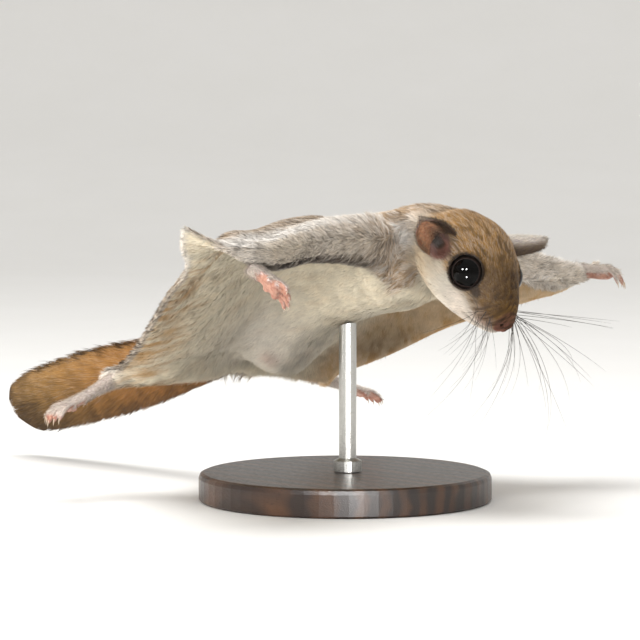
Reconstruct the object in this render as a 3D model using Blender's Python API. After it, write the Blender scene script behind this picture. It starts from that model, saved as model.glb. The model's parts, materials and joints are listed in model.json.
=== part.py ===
# A southern flying squirrel in its glide, life size, held by a plain display stand.
# +Z is up, the animal heads along -Y and its left side is +X.
# The origin is the middle of the stand's underside.

import math

import bmesh
import bpy
import numpy as np
from mathutils import Euler, Matrix, Vector

# Sizes are in millimetres and angles in degrees until a mesh is made.
MM = 0.001
SEAM = 0.3

# The glide: where the body's middle hangs over the base, and how it lies.
BODY_PLACE = (0.0, 5.7, 50.6)
NOSE_UP = 19.1
LEFT_SIDE_LOW = 3.0

# Body frame: x to the nose, y to the left, z up out of the back.
SHOULDER_SPAN = 0.27
NECK_SPAN = 0.18
ELBOW_SPAN = 0.55
WRIST_SPAN = 0.82
KNEE_SPAN = 0.60
ARM_DEPTH = 0.885
LEG_DEPTH = 0.125
CHORD_CELLS = 28
TORSO_CELLS = 6
WING_CELLS = 12

# Stations (span, x, y, z) along the front of the arm, for a raised and a low wing tip.
WING_TIPS = {"right": (36.0, 85.0, 16.0), "left": (32.0, 87.0, 10.0)}
FRONT_EDGE = [
    (0.00, 42.0, 0.0, 9.0),
    (0.16, 42.5, 9.5, 8.5),
    (SHOULDER_SPAN, 43.0, 17.0, 6.2),
    (ELBOW_SPAN, 42.5, 42.0, 5.4),
    (WRIST_SPAN, 42.5, 68.0, 3.6),
]
# Stations (span, x, y, z) along the back of the thigh and shank.
REAR_EDGE = [
    (0.00, -45.0, 0.0, 3.2),
    (0.16, -44.0, 8.0, 1.8),
    (SHOULDER_SPAN, -42.0, 14.0, 0.3),
    (KNEE_SPAN, -41.0, 29.0, -3.0),
    (1.00, -52.5, 43.4, -3.0),
]
# Stations (depth, x, y, z) of the free edge between the ankle and the wing tip.
FREE_EDGES = {
    "right": [
        (0.20, -34.0, 46.5, 1.5),
        (0.38, -17.0, 53.0, 5.5),
        (0.55, -2.0, 60.0, 8.0),
        (0.70, 12.0, 67.0, 8.5),
        (0.85, 24.0, 75.0, 9.5),
        (0.93, 28.5, 80.0, 13.0),
    ],
    "left": [
        (0.20, -34.0, 45.0, -3.0),
        (0.38, -20.0, 47.0, -2.5),
        (0.55, -5.0, 54.5, 0.5),
        (0.70, 10.0, 59.0, 0.8),
        (0.85, 22.0, 64.5, 1.5),
        (0.93, 27.0, 74.0, 3.5),
    ],
}
SPINE = [
    (0.00, -45.0, 0.0, 3.2),
    (0.25, -20.0, 0.0, 4.5),
    (0.50, 2.0, 0.0, 9.5),
    (0.75, 22.0, 0.0, 10.5),
    (1.00, 42.0, 0.0, 9.0),
]
# How far the air lifts the membrane behind the arm.
BILLOW = {"right": 17.2, "left": 6.0}
BILLOW_OUTER_SPAN = {"right": 0.20, "left": 0.35}
BILLOW_REAR_POWER = 2.4
BILLOW_FRONT_POWER = 0.8

# Torso profiles along x: height of the back, of the belly, and half the width.
BACK_LINE = [(-45, 8.0), (-30, 15.5), (-15, 20.0), (0, 23.0), (15, 24.5), (30, 24.0), (42, 22.0)]
BELLY_LINE = [
    (-45, 1.0), (-37, -0.5), (-29, -4.5), (-22, -10.0), (-15, -8.0),
    (-8, -4.5), (3, -2.5), (16, -3.0), (30, -5.0), (42, -4.0),
]
HALF_WIDTH = [(-45, 10.0), (-30, 16.5), (-10, 18.5), (10, 19.5), (30, 19.5), (42, 17.0)]

# Half thickness of the furred membrane, and the radii of the limbs along the span.
MEMBRANE_HALF = 1.9
FREE_EDGE_HALF = 0.7
ARM_RADIUS = [(0.10, 8.0), (SHOULDER_SPAN, 7.8), (ELBOW_SPAN, 6.3), (0.75, 4.8), (WRIST_SPAN, 3.7),
              (0.88, 1.7), (1.00, 1.1)]
LEG_RADIUS = [(0.10, 6.2), (SHOULDER_SPAN, 6.9), (KNEE_SPAN, 5.6), (0.85, 4.2), (1.00, 3.6)]

# Head frame: x to the nose, y to the left, z out of the crown.
HEAD_PLACE = (57.1, -1.0, -1.7)
HEAD_TURN = -2.7
HEAD_NOD = 56.0
HEAD_TILT = -6.0
HEAD_RINGS = 30
HEAD_SIDES = 32
# Stations (x, half width, crown height, throat height).
HEAD_STATIONS = [
    (-17.0, 6.5, 6.5, -6.5),
    (-14.0, 10.5, 10.3, -9.5),
    (-8.0, 13.2, 13.0, -11.4),
    (-1.0, 13.7, 13.8, -12.0),
    (5.0, 11.6, 12.2, -11.8),
    (10.0, 9.0, 9.4, -10.8),
    (14.0, 7.0, 6.3, -9.4),
    (17.0, 5.4, 3.4, -8.2),
    (19.0, 3.6, 0.9, -6.8),
]
NAPE_X = -19.0
NECK_END_X = -11.0
NECK_END_HALF = 10.3
NECK_END_LIFT = 1.0
NECK_SWELL = 0.10
NECK_RINGS = 6
NOSE_TIP = (20.3, -2.9)

EYE_PLACE = (5.2, 8.0, 2.6)
EYE_AXIS = (0.43, 0.86, 0.26)
EYE_RADIUS = 4.6
LID_RADIUS = 4.15
LID_THICKNESS = 0.75
NOSTRIL = {"place": (19.9, 1.6, -3.4), "axis": (0.75, 0.6, -0.1), "radius": 0.7}
MOUTH_CORNER = (10.0, 6.4, -7.4)
MOUTH_FRONT = (18.4, 0.0, -6.6)
MOUTH_DEPTH = 0.9
MOUTH_GAP = 0.5
# Swellings on each side of the head: where, how wide and how high.
WHISKER_PAD = ((15.0, 5.2, -4.5), 5.0, 0.9)
CHEEK = ((1.0, 11.5, -6.0), 8.0, 0.8)
# A swelling is pushed away from a point this far behind it, half as high and on the middle plane.
SWELLING_BACK = 4.0

EARS = {
    "right": {"root": (-4.0, -11.0, 3.5), "along": (-0.20, -0.87, 0.45), "open": (0.86, -0.30, -0.10)},
    "left": {"root": (-4.0, 11.0, 3.5), "along": (0.15, 0.88, 0.42), "open": (0.40, 0.30, -0.90)},
}
EAR_LENGTH = 16.0
EAR_HALF_WIDTH = 5.6
EAR_CUP = 4.0
EAR_HALF_THICKNESS = 0.5
EAR_ROOT_SUNK = 1.5
# The ear's outline is a part of a sine arch: its start, its span and its power.
EAR_OUTLINE = (0.22, 0.74, 0.7)
# How much shallower the cup is at the tip, and how steeply the ear thins to its side and tip.
EAR_CUP_FADE = (0.55, 0.25)
EAR_THINNING = (3.0, 4.0)
EAR_RIM_SHARE = 0.5
EAR_ROWS = 9
EAR_COLUMNS = 9

# Limb ends, in the body frame: where each starts and which way it points.
HANDS = {
    "right": {"root": (41.0, -66.0, 1.5), "along": (0.60, 0.20, -0.78), "back": (0.10, 0.78, 0.60)},
    "left": {"root": (41.0, 67.0, 3.5), "along": (0.82, 0.50, -0.25), "back": (0.20, -0.10, 0.97)},
}
HAND_LENGTH = 13.0
HAND_CURL = 1.7
FEET = {
    "right": {"root": (-49.0, -42.0, -3.0), "along": (-0.18, -0.92, -0.34), "back": (0.30, -0.35, 0.88)},
    "left": {"root": (-49.0, 42.0, -3.0), "along": (-0.02, 0.96, -0.27), "back": (0.30, 0.25, 0.92)},
}
# Stations (x, half width, half height, lift) of the palm, from the wrist forward.
HAND_PALM = [
    (-2.0, 2.4, 2.3, 0.0),
    (0.16 * HAND_LENGTH, 2.4, 2.1, 0.0),
    (0.36 * HAND_LENGTH, 3.2, 2.2, -0.2),
    (0.55 * HAND_LENGTH, 3.7, 2.0, -0.2),
    (0.64 * HAND_LENGTH, 3.0, 1.4, -0.2),
]
# Digits: (place of the root, sideways lean, length, radius).
HAND_DIGITS = [
    ((0.52 * HAND_LENGTH, -2.6, 0.0), -0.22, 0.42 * HAND_LENGTH, 1.0),
    ((0.52 * HAND_LENGTH, 2.6, 0.0), 0.22, 0.42 * HAND_LENGTH, 1.0),
    ((0.56 * HAND_LENGTH, -0.9, 0.1), -0.06, 0.46 * HAND_LENGTH, 1.0),
    ((0.56 * HAND_LENGTH, 0.9, 0.1), 0.06, 0.46 * HAND_LENGTH, 1.0),
]
FOOT_LENGTH = 28.0
FOOT_SOLE = [
    (-2.5, 3.2, 3.0, 0.0),
    (0.08 * FOOT_LENGTH, 2.9, 2.6, 0.0),
    (0.30 * FOOT_LENGTH, 2.3, 2.0, -0.3),
    (0.50 * FOOT_LENGTH, 2.7, 1.8, -0.4),
    (0.64 * FOOT_LENGTH, 3.3, 1.7, -0.4),
    (0.72 * FOOT_LENGTH, 2.7, 1.2, -0.4),
]
# Five toes side by side, the middle one longest.
FOOT_TOES = (-2, -1, 0, 1, 2)
TOE_ROOT = 0.62 * FOOT_LENGTH
TOE_SPACING = 1.25
TOE_LEAN = 0.07
TOE_LENGTHS = (0.31 * FOOT_LENGTH, 0.03 * FOOT_LENGTH)
TOE_RADIUS = 0.9
FOOT_CURL = 1.0
CLAW_LENGTH = 1.5
# Stations (share of the length, share of the radius, drop as a share of the length) of a digit.
DIGIT_STATIONS = [(0.0, 0.9, 0.0), (0.35, 1.0, 0.02), (0.65, 0.9, -0.06), (0.9, 0.75, -0.20)]
DIGIT_TIP_DROP = -0.42
DIGIT_TIP_SIZE = 0.22

# Tail: flat, broad and rolled about its length, with long locks over a slim core.
TAIL_ROLL = 62.0
# Stations (share of the length, x, y, z) along the middle of the tail.
TAIL_LINE = [
    (0.00, -38.0, 0.0, 2.5),
    (0.25, -66.0, 1.0, 6.2),
    (0.50, -94.0, 2.3, 9.6),
    (0.75, -122.0, 3.5, 12.4),
    (1.00, -150.0, 4.7, 14.8),
]
# Stations (share of the length, half width, half thickness), coat included.
TAIL_STATIONS = [
    (0.00, 5.5, 5.0),
    (0.10, 6.9, 5.2),
    (0.22, 8.6, 5.0),
    (0.45, 12.5, 4.6),
    (0.60, 13.8, 4.4),
    (0.75, 13.8, 4.2),
    (0.88, 12.0, 3.6),
    (0.96, 8.4, 2.6),
]
# Stations (share of the length, share of the coat's half width and half thickness) of the core.
TAIL_CORE = [(0.0, 0.92), (0.10, 0.72), (0.22, 0.5), (0.75, 0.48), (0.86, 0.36)]
TAIL_CORE_SIDES = 12
# Rows of locks: (angle round the tail, locks, first and last root, length, half width).
LOCK_ROWS = [
    (0.0, 13, 0.03, 0.78, 0.21, 2.9),
    (180.0, 13, 0.00, 0.76, 0.21, 2.9),
    (38.0, 6, 0.06, 0.74, 0.24, 3.6),
    (-38.0, 6, 0.02, 0.72, 0.24, 3.6),
    (142.0, 6, 0.04, 0.74, 0.24, 3.6),
    (218.0, 6, 0.07, 0.72, 0.24, 3.6),
    (90.0, 6, 0.05, 0.70, 0.24, 4.2),
    (270.0, 6, 0.03, 0.72, 0.24, 4.2),
]
TIP_LOCKS = 5
TIP_LOCK_ROOT = 0.76
TIP_LOCK_SPREAD = 0.62
TIP_LOCK_HALF_WIDTH = 3.2
LOCK_HALF_THICKNESS = 1.15
# Depth in the coat of a lock's root, middle and tip.
LOCK_DEPTHS = (0.22, 0.68, 0.97)
# How far a lock strays: in length, and as parts of that in its root and its angle.
LOCK_VARIATION = 0.05
LOCK_ROOT_STRAY = 0.3
LOCK_ANGLE_STRAY = 2.0
LOCK_SEED = 7
# Stations (share of the lock, share of its half width, share of its half thickness).
LOCK_STATIONS = [(0.0, 0.75, 1.0), (0.35, 1.0, 1.0), (0.68, 0.82, 0.75), (0.88, 0.45, 0.45)]

# Stand: a turned base and one rod into the belly.
BASE_RADIUS = 42.0
BASE_HEIGHT = 8.0
BASE_BEVEL = 1.5
BASE_FOOT_BEVEL = 0.6
BASE_SIDES = 64
ROD_RADIUS = 2.5
ROD_SIDES = 24
ROD_INTO_BELLY = 2.0
ROD_PLACE = (0.0, -1.0)
ROD_CUFF_RADIUS = 4.0
ROD_CUFF_HEIGHT = 3.0
ROD_CUFF_BEVEL = 0.8
SHARP_ANGLE = 30.0


# Curves and small vector helpers.

def curve_at(keys, at):
    """A smooth curve through keyed stations, read at each value of `at`."""
    keys = np.array(keys, float)
    place, values = keys[:, 0], keys[:, 1:]
    at = np.clip(np.atleast_1d(np.asarray(at, float)), place[0], place[-1])
    slopes = np.gradient(values, place, axis=0)
    first = np.clip(np.searchsorted(place, at, side="right") - 1, 0, len(place) - 2)
    step = (place[first + 1] - place[first])[:, None]
    t = (at - place[first])[:, None] / step
    start, end = values[first], values[first + 1]
    return (
        start * (2 * t**3 - 3 * t**2 + 1)
        + end * (3 * t**2 - 2 * t**3)
        + slopes[first] * step * (t**3 - 2 * t**2 + t)
        + slopes[first + 1] * step * (t**3 - t**2)
    )


def profile_at(keys, at):
    at = np.asarray(at, float)
    return curve_at(keys, at.ravel())[:, 0].reshape(at.shape)


def ease(value):
    value = np.clip(value, 0.0, 1.0)
    return value * value * (3 - 2 * value)


def unit(vector):
    vector = np.asarray(vector, float)
    return vector / np.linalg.norm(vector, axis=-1, keepdims=True)


def frame_from(along, back):
    """Rows: forward, left and up axes of a limb end."""
    forward = unit(along)
    left = unit(np.cross(back, forward))
    return np.array([forward, left, np.cross(forward, left)])


def head_axes():
    turn = Euler((math.radians(HEAD_TILT), math.radians(HEAD_NOD), math.radians(HEAD_TURN)), "XYZ")
    return np.array(turn.to_matrix())


def to_body(points):
    """Head frame to body frame."""
    return np.asarray(points, float) @ head_axes().T + np.array(HEAD_PLACE)


# Mesh helpers.

def make_material(name, colour, roughness, metallic=0.0):
    material = bpy.data.materials.new(name)
    material.use_nodes = True
    shader = material.node_tree.nodes["Principled BSDF"]
    shader.inputs["Base Color"].default_value = (*colour, 1.0)
    shader.inputs["Roughness"].default_value = roughness
    shader.inputs["Metallic"].default_value = metallic
    material.diffuse_color = (*colour, 1.0)
    return material


def make_piece(name, points, faces, finish, parent=None, smooth=True):
    mesh = bpy.data.meshes.new(name)
    mesh.from_pydata((np.asarray(points, float) * MM).tolist(), [], faces)
    mesh.validate()
    piece = bpy.data.objects.new(name, mesh)
    bpy.context.scene.collection.objects.link(piece)
    if finish:
        mesh.materials.append(make_material(name + "_finish", *finish))
    if smooth:
        mesh.shade_smooth()
    piece.parent = parent
    face_outward(mesh)
    return piece


def face_outward(mesh):
    shape = bmesh.new()
    shape.from_mesh(mesh)
    bmesh.ops.recalc_face_normals(shape, faces=shape.faces)
    if shape.calc_volume(signed=True) < 0:
        bmesh.ops.reverse_faces(shape, faces=shape.faces)
    shape.to_mesh(mesh)
    shape.free()


def tube(rings):
    """Points and faces of a closed form through rings of equal point counts."""
    rings = [np.asarray(ring, float) for ring in rings]
    count = len(rings[0])
    points = np.concatenate(rings)
    faces = []
    for row in range(len(rings) - 1):
        for side in range(count):
            after = (side + 1) % count
            faces.append((row * count + side, row * count + after,
                          (row + 1) * count + after, (row + 1) * count + side))
    points = np.concatenate([points, rings[0].mean(0)[None], rings[-1].mean(0)[None]])
    low, high = len(points) - 2, len(points) - 1
    last = (len(rings) - 1) * count
    for side in range(count):
        after = (side + 1) % count
        faces.append((low, after, side))
        faces.append((high, last + side, last + after))
    return points, faces


def ring_of(centre, across, up, half_width, half_height, sides):
    """An oval of points round a centre."""
    turn = np.linspace(0, 2 * math.pi, sides, endpoint=False)[:, None]
    return centre + across * half_width * np.cos(turn) + up * half_height * np.sin(turn)


def apply_boolean(piece, other, operation="DIFFERENCE", solver="EXACT"):
    """Join or cut `piece` with one object, or with every object of a collection."""
    step = piece.modifiers.new("join", "BOOLEAN")
    step.operation = operation
    step.solver = solver
    if isinstance(other, bpy.types.Collection):
        step.operand_type = "COLLECTION"
        step.collection = other
    else:
        step.object = other
    bpy.context.view_layer.update()
    graph = bpy.context.evaluated_depsgraph_get()
    mesh = bpy.data.meshes.new_from_object(piece.evaluated_get(graph))
    piece.modifiers.clear()
    piece.data = mesh
    keep_largest(mesh)


def keep_largest(mesh):
    """Keep the largest closed surface and drop loose scraps."""
    shape = bmesh.new()
    shape.from_mesh(mesh)
    left = set(shape.verts)
    islands = []
    while left:
        stack = [left.pop()]
        island = set(stack)
        while stack:
            for edge in stack.pop().link_edges:
                for vert in edge.verts:
                    if vert not in island:
                        island.add(vert)
                        left.discard(vert)
                        stack.append(vert)
        islands.append(island)
    islands.sort(key=island_size)
    for island in islands[:-1]:
        bmesh.ops.delete(shape, geom=list(island), context="VERTS")
    shape.to_mesh(mesh)
    shape.free()
    mesh.shade_smooth()


def island_size(island):
    places = np.array([tuple(vert.co) for vert in island])
    return float(np.prod(places.max(0) - places.min(0) + 1e-6))


def fuse(name, shapes, finish, parent, solver="EXACT"):
    """One node from several closed shapes, joined by a single union."""
    whole = make_piece(name, *shapes[0], finish, parent)
    others = bpy.data.collections.new(name + "_shapes")
    bpy.context.scene.collection.children.link(others)
    for number, shape in enumerate(shapes[1:]):
        part = make_piece(f"{name}_shape_{number}", *shape, None, parent)
        bpy.context.scene.collection.objects.unlink(part)
        others.objects.link(part)
    apply_boolean(whole, others, "UNION", solver)
    for part in list(others.objects):
        bpy.data.objects.remove(part)
    bpy.data.collections.remove(others)
    return whole


def swollen(piece):
    """A copy pushed out by one seam along its normals, to cut a seam into a neighbour."""
    copy = piece.copy()
    copy.data = piece.data.copy()
    bpy.context.scene.collection.objects.link(copy)
    for vert, normal in zip(copy.data.vertices, [tuple(n.vector) for n in copy.data.vertex_normals]):
        vert.co += Vector(normal) * SEAM * MM
    copy.hide_render = True
    copy.display_type = "WIRE"
    return copy


def seam_between(piece, *neighbours):
    """Cut `piece` back so that it stands a seam clear of its neighbours."""
    for neighbour in neighbours:
        cutter = swollen(neighbour)
        apply_boolean(piece, cutter)
        bpy.data.objects.remove(cutter)


# The trunk, the limbs and the gliding membrane share one surface of chords and spans.

def grid_stations():
    turn = np.linspace(0.0, math.pi, CHORD_CELLS + 1)
    even = np.linspace(0.0, 1.0, CHORD_CELLS + 1)
    depths = 0.8 * (0.5 - 0.5 * np.cos(turn)) + 0.2 * even
    inner = np.linspace(0.0, SHOULDER_SPAN, TORSO_CELLS + 1)
    outer = np.linspace(SHOULDER_SPAN, 1.0, WING_CELLS + 1)
    spans = np.concatenate([inner, outer[1:]])
    return depths, spans


def side_surface(side, depths, spans):
    """Middle surface of one side, by depth (rear to front) and span (spine to edge)."""
    mirror = np.array([1.0, 1.0 if side == "left" else -1.0, 1.0])
    tip = (1.0, *WING_TIPS[side])
    ankle = (0.0, *REAR_EDGE[-1][1:])
    front = curve_at(FRONT_EDGE + [tip], spans)
    rear = curve_at(REAR_EDGE, spans)
    edge = curve_at([ankle] + FREE_EDGES[side] + [tip], depths)
    spine = curve_at(SPINE, depths)
    u = depths[:, None, None]
    v = spans[None, :, None]
    surface = (1 - u) * rear[None] + u * front[None] + (1 - v) * spine[:, None] + v * edge[:, None]
    surface -= (1 - u) * (1 - v) * rear[0] + (1 - u) * v * rear[-1]
    surface -= u * (1 - v) * front[0] + u * v * front[-1]
    crest = BILLOW_REAR_POWER / (BILLOW_REAR_POWER + BILLOW_FRONT_POWER)
    lift = depths**BILLOW_REAR_POWER * (1 - depths)**BILLOW_FRONT_POWER
    lift /= crest**BILLOW_REAR_POWER * (1 - crest)**BILLOW_FRONT_POWER
    reach = ease(spans / 0.45) * ease((1 - spans) / BILLOW_OUTER_SPAN[side])
    surface[:, :, 2] += BILLOW[side] * lift[:, None] * reach[None, :]
    return surface * mirror


def surface_normals(surface):
    along = np.gradient(surface, axis=0)
    across = np.gradient(surface, axis=1)
    return unit(np.cross(along, across))


def limb_half(distance, radius, skin, rounding):
    """Half thickness of a limb in the edge of the membrane, by distance from that edge."""
    inside = np.clip(distance / radius, 0.0, 1.0)
    nose = np.sqrt(np.clip(1 - (1 - inside)**2, 0.0, 1.0))
    nose = 1 - rounding * (1 - nose)
    fall = 1 - ease((distance - radius) / (1.5 * radius))
    return (skin + (radius - skin) * fall) * nose


def body_surfaces():
    depths, spans = grid_stations()
    right = side_surface("right", depths, spans)[:, ::-1]
    left = side_surface("left", depths, spans)
    middle = np.concatenate([right, left[:, 1:]], axis=1)
    span = np.concatenate([spans[::-1], spans[1:]])
    normals = surface_normals(middle)
    steps = np.linalg.norm(np.diff(middle, axis=0), axis=2)
    from_rear = np.concatenate([np.zeros((1, len(span))), np.cumsum(steps, axis=0)])
    from_front = from_rear[-1] - from_rear
    skin = FREE_EDGE_HALF + (MEMBRANE_HALF - FREE_EDGE_HALF) * ease((1 - span) / 0.16)
    rounding = ease((span - NECK_SPAN) / (SHOULDER_SPAN - NECK_SPAN))[None]
    arm = limb_half(from_front, profile_at(ARM_RADIUS, span)[None], skin[None], rounding)
    leg = limb_half(from_rear, profile_at(LEG_RADIUS, span)[None], skin[None], rounding)
    half = np.maximum(np.maximum(arm + leg - skin[None], FREE_EDGE_HALF), 0.5)
    x, y, z = middle[..., 0], middle[..., 1], middle[..., 2]
    spread = np.clip(np.abs(y) / profile_at(HALF_WIDTH, x), 0.0, 1.0)
    swell = (1 - spread**2.4)**1.6
    rise = np.maximum(profile_at(BACK_LINE, x) - z - half, 0.0) * swell
    drop = np.maximum(z - half - profile_at(BELLY_LINE, x), 0.0) * swell
    top = middle + normals * half[..., None]
    bottom = middle - normals * half[..., None]
    top[..., 2] += rise
    bottom[..., 2] -= drop
    return middle, top, bottom, depths, span


def cell_mask(depths, span, low_depth, high_depth, low_span, high_span, side):
    """Which cells of the grid lie between two depths and two spans on one side."""
    depth = (depths[1:] + depths[:-1]) / 2
    across = (span[1:] + span[:-1]) / 2
    sign = np.concatenate([-np.ones(len(across) // 2), np.ones(len(across) // 2)])
    sides = {"right": sign < 0, "left": sign > 0, "both": sign != 0}[side]
    rows = (depth > low_depth) & (depth < high_depth)
    columns = (across > low_span) & (across < high_span) & sides
    return rows[:, None] & columns[None, :]


def grid_piece(name, mask, middle, top, bottom, finish, parent):
    """A closed solid over the masked cells, drawn back by half a seam from its neighbours."""
    rows, columns = middle.shape[:2]
    full = np.zeros((rows + 1, columns + 1), bool)
    full[1:-1, 1:-1] = mask
    along = unit(np.gradient(middle, axis=0))
    across = unit(np.gradient(middle, axis=1))
    corner = {}
    points = []
    for row in range(rows):
        for column in range(columns):
            near = full[row:row + 2, column:column + 2]
            if not near.any():
                continue
            ahead = int(near[1].sum()) - int(near[0].sum())
            beside = int(near[:, 1].sum()) - int(near[:, 0].sum())
            shift = np.zeros(3)
            if 0 < row < rows - 1:
                shift += along[row, column] * np.sign(ahead) * SEAM / 2
            if 0 < column < columns - 1:
                shift += across[row, column] * np.sign(beside) * SEAM / 2
            corner[row, column] = len(points)
            points.append(top[row, column] + shift)
            points.append(bottom[row, column] + shift)
    faces = []
    for row in range(rows - 1):
        for column in range(columns - 1):
            if not mask[row, column]:
                continue
            a = corner[row, column]
            b = corner[row + 1, column]
            c = corner[row + 1, column + 1]
            d = corner[row, column + 1]
            faces += [(a, b, c), (a, c, d), (a + 1, c + 1, b + 1), (a + 1, d + 1, c + 1)]
            for other, start, end in (
                ((row, column - 1), a, b), ((row + 1, column), b, c),
                ((row, column + 1), c, d), ((row - 1, column), d, a),
            ):
                if full[other[0] + 1, other[1] + 1]:
                    continue
                if start < end:
                    faces += [(start, start + 1, end + 1), (start, end + 1, end)]
                else:
                    faces += [(start, start + 1, end), (start + 1, end + 1, end)]
    return make_piece(name, points, faces, finish, parent)


def neck_ring(middle, top, bottom, span):
    """The outline of the trunk's front wall, one seam ahead of it."""
    columns = [i for i in range(len(span)) if span[i] < NECK_SPAN + 0.01]
    upper = [top[-1, i] for i in columns]
    lower = [bottom[-1, i] for i in reversed(columns)]
    return np.array(upper + lower) + np.array([SEAM, 0.0, 0.0])


# Head: a lofted form with lids, mouth line, lips, nose and nostrils.

def head_section(x, width, crown, throat, share=1.0, centre=None):
    angles = np.linspace(0, 2 * math.pi, HEAD_SIDES, endpoint=False)
    middle = (crown + throat) / 2 if centre is None else centre
    half = (crown - throat) / 2
    return np.stack([
        np.full(HEAD_SIDES, x),
        width * share * np.cos(angles),
        middle + half * share * np.sin(angles),
    ], axis=1)


def head_rings():
    first, last = HEAD_STATIONS[0], HEAD_STATIONS[-1]
    caps = np.radians([75.0, 50.0, 25.0])
    rings = []
    for angle in caps:
        x = first[0] + (NAPE_X - first[0]) * math.sin(angle)
        rings.append(head_section(x, *first[1:], share=math.cos(angle)))
    for x in np.linspace(first[0], last[0], HEAD_RINGS - 2 * len(caps)):
        rings.append(head_section(x, *curve_at(HEAD_STATIONS, x)[0]))
    middle = (last[2] + last[3]) / 2
    for angle in caps[::-1]:
        x = last[0] + (NOSE_TIP[0] - last[0]) * math.sin(angle)
        centre = middle + (NOSE_TIP[1] - middle) * math.sin(angle)
        rings.append(head_section(x, *last[1:], share=math.cos(angle), centre=centre))
    return rings


def raise_spot(points, centre, radius, height):
    """Lift the surface round a spot on both sides of the head."""
    for side in (-1, 1):
        spot = np.array(centre) * (1, side, 1)
        behind = np.array([spot[0] - SWELLING_BACK, 0, spot[2] / 2])
        near = np.linalg.norm(points - spot, axis=1) / radius
        lift = height * np.clip(1 - near**2, 0, 1)**2
        points += unit(points - behind) * lift[:, None]
    return points


def ellipsoid(centre, axes, sizes, rings=8, sides=12):
    centre, axes = np.asarray(centre, float), np.asarray(axes, float)
    sections = []
    for angle in np.linspace(-math.pi / 2, math.pi / 2, rings + 1)[1:-1]:
        turn = np.linspace(0, 2 * math.pi, sides, endpoint=False)
        local = np.stack([
            np.full(sides, sizes[0] * math.sin(angle)),
            sizes[1] * math.cos(angle) * np.cos(turn),
            sizes[2] * math.cos(angle) * np.sin(turn),
        ], axis=1)
        sections.append(centre + local @ axes)
    points, faces = tube(sections)
    points[-2] = centre - axes[0] * sizes[0]
    points[-1] = centre + axes[0] * sizes[0]
    return points, faces


def torus(centre, axes, major, minor, turns=28, sides=6):
    rings = []
    for angle in np.linspace(0, 2 * math.pi, turns, endpoint=False):
        out = axes[1] * math.cos(angle) + axes[2] * math.sin(angle)
        rings.append([centre + out * (major + minor * math.cos(a)) + axes[0] * minor * math.sin(a)
                      for a in np.linspace(0, 2 * math.pi, sides, endpoint=False)])
    points = np.array(rings).reshape(-1, 3)
    faces = []
    for turn in range(turns):
        for side in range(sides):
            after, beside = (turn + 1) % turns, (side + 1) % sides
            faces.append((turn * sides + side, turn * sides + beside,
                          after * sides + beside, after * sides + side))
    return points, faces


def eye_frame(side):
    sign = 1 if side == "left" else -1
    axis = unit(np.array(EYE_AXIS) * (1, sign, 1))
    return np.array(EYE_PLACE) * (1, sign, 1), frame_from(axis, (0, 0, 1))


def eyeball(side, radius):
    place, axes = eye_frame(side)
    points, faces = ellipsoid(place, axes, (radius, radius, radius), rings=10, sides=18)
    return to_body(points), faces


def mouth_slot():
    """A thin plate round the muzzle, to cut the line between the lips."""
    corner, front = np.array(MOUTH_CORNER), np.array(MOUTH_FRONT)
    outer, inner = [], []
    for angle in np.linspace(-math.pi / 2, math.pi / 2, 15):
        depth = MOUTH_DEPTH * (1 - 0.5 * abs(math.sin(angle)))
        height = front[2] + (corner[2] - front[2]) * math.sin(angle)**2
        for reach, row in ((1.5, outer), (-depth, inner)):
            row.append((
                corner[0] + (front[0] - corner[0] + reach) * math.cos(angle),
                (corner[1] + reach) * math.sin(angle),
                height,
            ))
    half = np.array([0, 0, MOUTH_GAP / 2])
    rings = [[np.array(o) - half, np.array(o) + half, np.array(i) + half, np.array(i) - half]
             for o, i in zip(outer, inner)]
    points, faces = tube(rings)
    return to_body(points), faces


def add_cutter(name, shape, parent):
    cutter = make_piece(name, *shape, None, parent)
    cutter.hide_render = True
    cutter.display_type = "WIRE"
    return cutter


def lid(side):
    """A ring round the eye's opening."""
    place, axes = eye_frame(side)
    rim = place + axes[0] * math.sqrt(EYE_RADIUS**2 - LID_RADIUS**2)
    points, faces = torus(rim, axes, LID_RADIUS + LID_THICKNESS / 2, LID_THICKNESS)
    return to_body(points), faces


def nostril(side):
    sign = 1 if side == "left" else -1
    size = NOSTRIL["radius"]
    axes = frame_from(np.array(NOSTRIL["axis"]) * (1, sign, 1), (0, 0, 1))
    place = np.array(NOSTRIL["place"]) * (1, sign, 1)
    points, faces = ellipsoid(place, axes, (size * 1.3, size, size * 0.8), 6, 8)
    return to_body(points), faces


def build_head(finish, parent):
    points, faces = tube(head_rings())
    points[-2] = (NAPE_X, 0, (HEAD_STATIONS[0][2] + HEAD_STATIONS[0][3]) / 2)
    points[-1] = (NOSE_TIP[0], 0, NOSE_TIP[1])
    raise_spot(points, *WHISKER_PAD)
    raise_spot(points, *CHEEK)
    head = fuse("head", [(to_body(points), faces), lid("right"), lid("left")], finish, parent)
    hollows = [eyeball(side, EYE_RADIUS + SEAM) for side in ("right", "left")]
    hollows += [nostril(side) for side in ("right", "left")]
    for number, hollow in enumerate(hollows + [mouth_slot()]):
        cutter = add_cutter(f"hollow_{number}", hollow, parent)
        apply_boolean(head, cutter)
        bpy.data.objects.remove(cutter)
    return head


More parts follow.
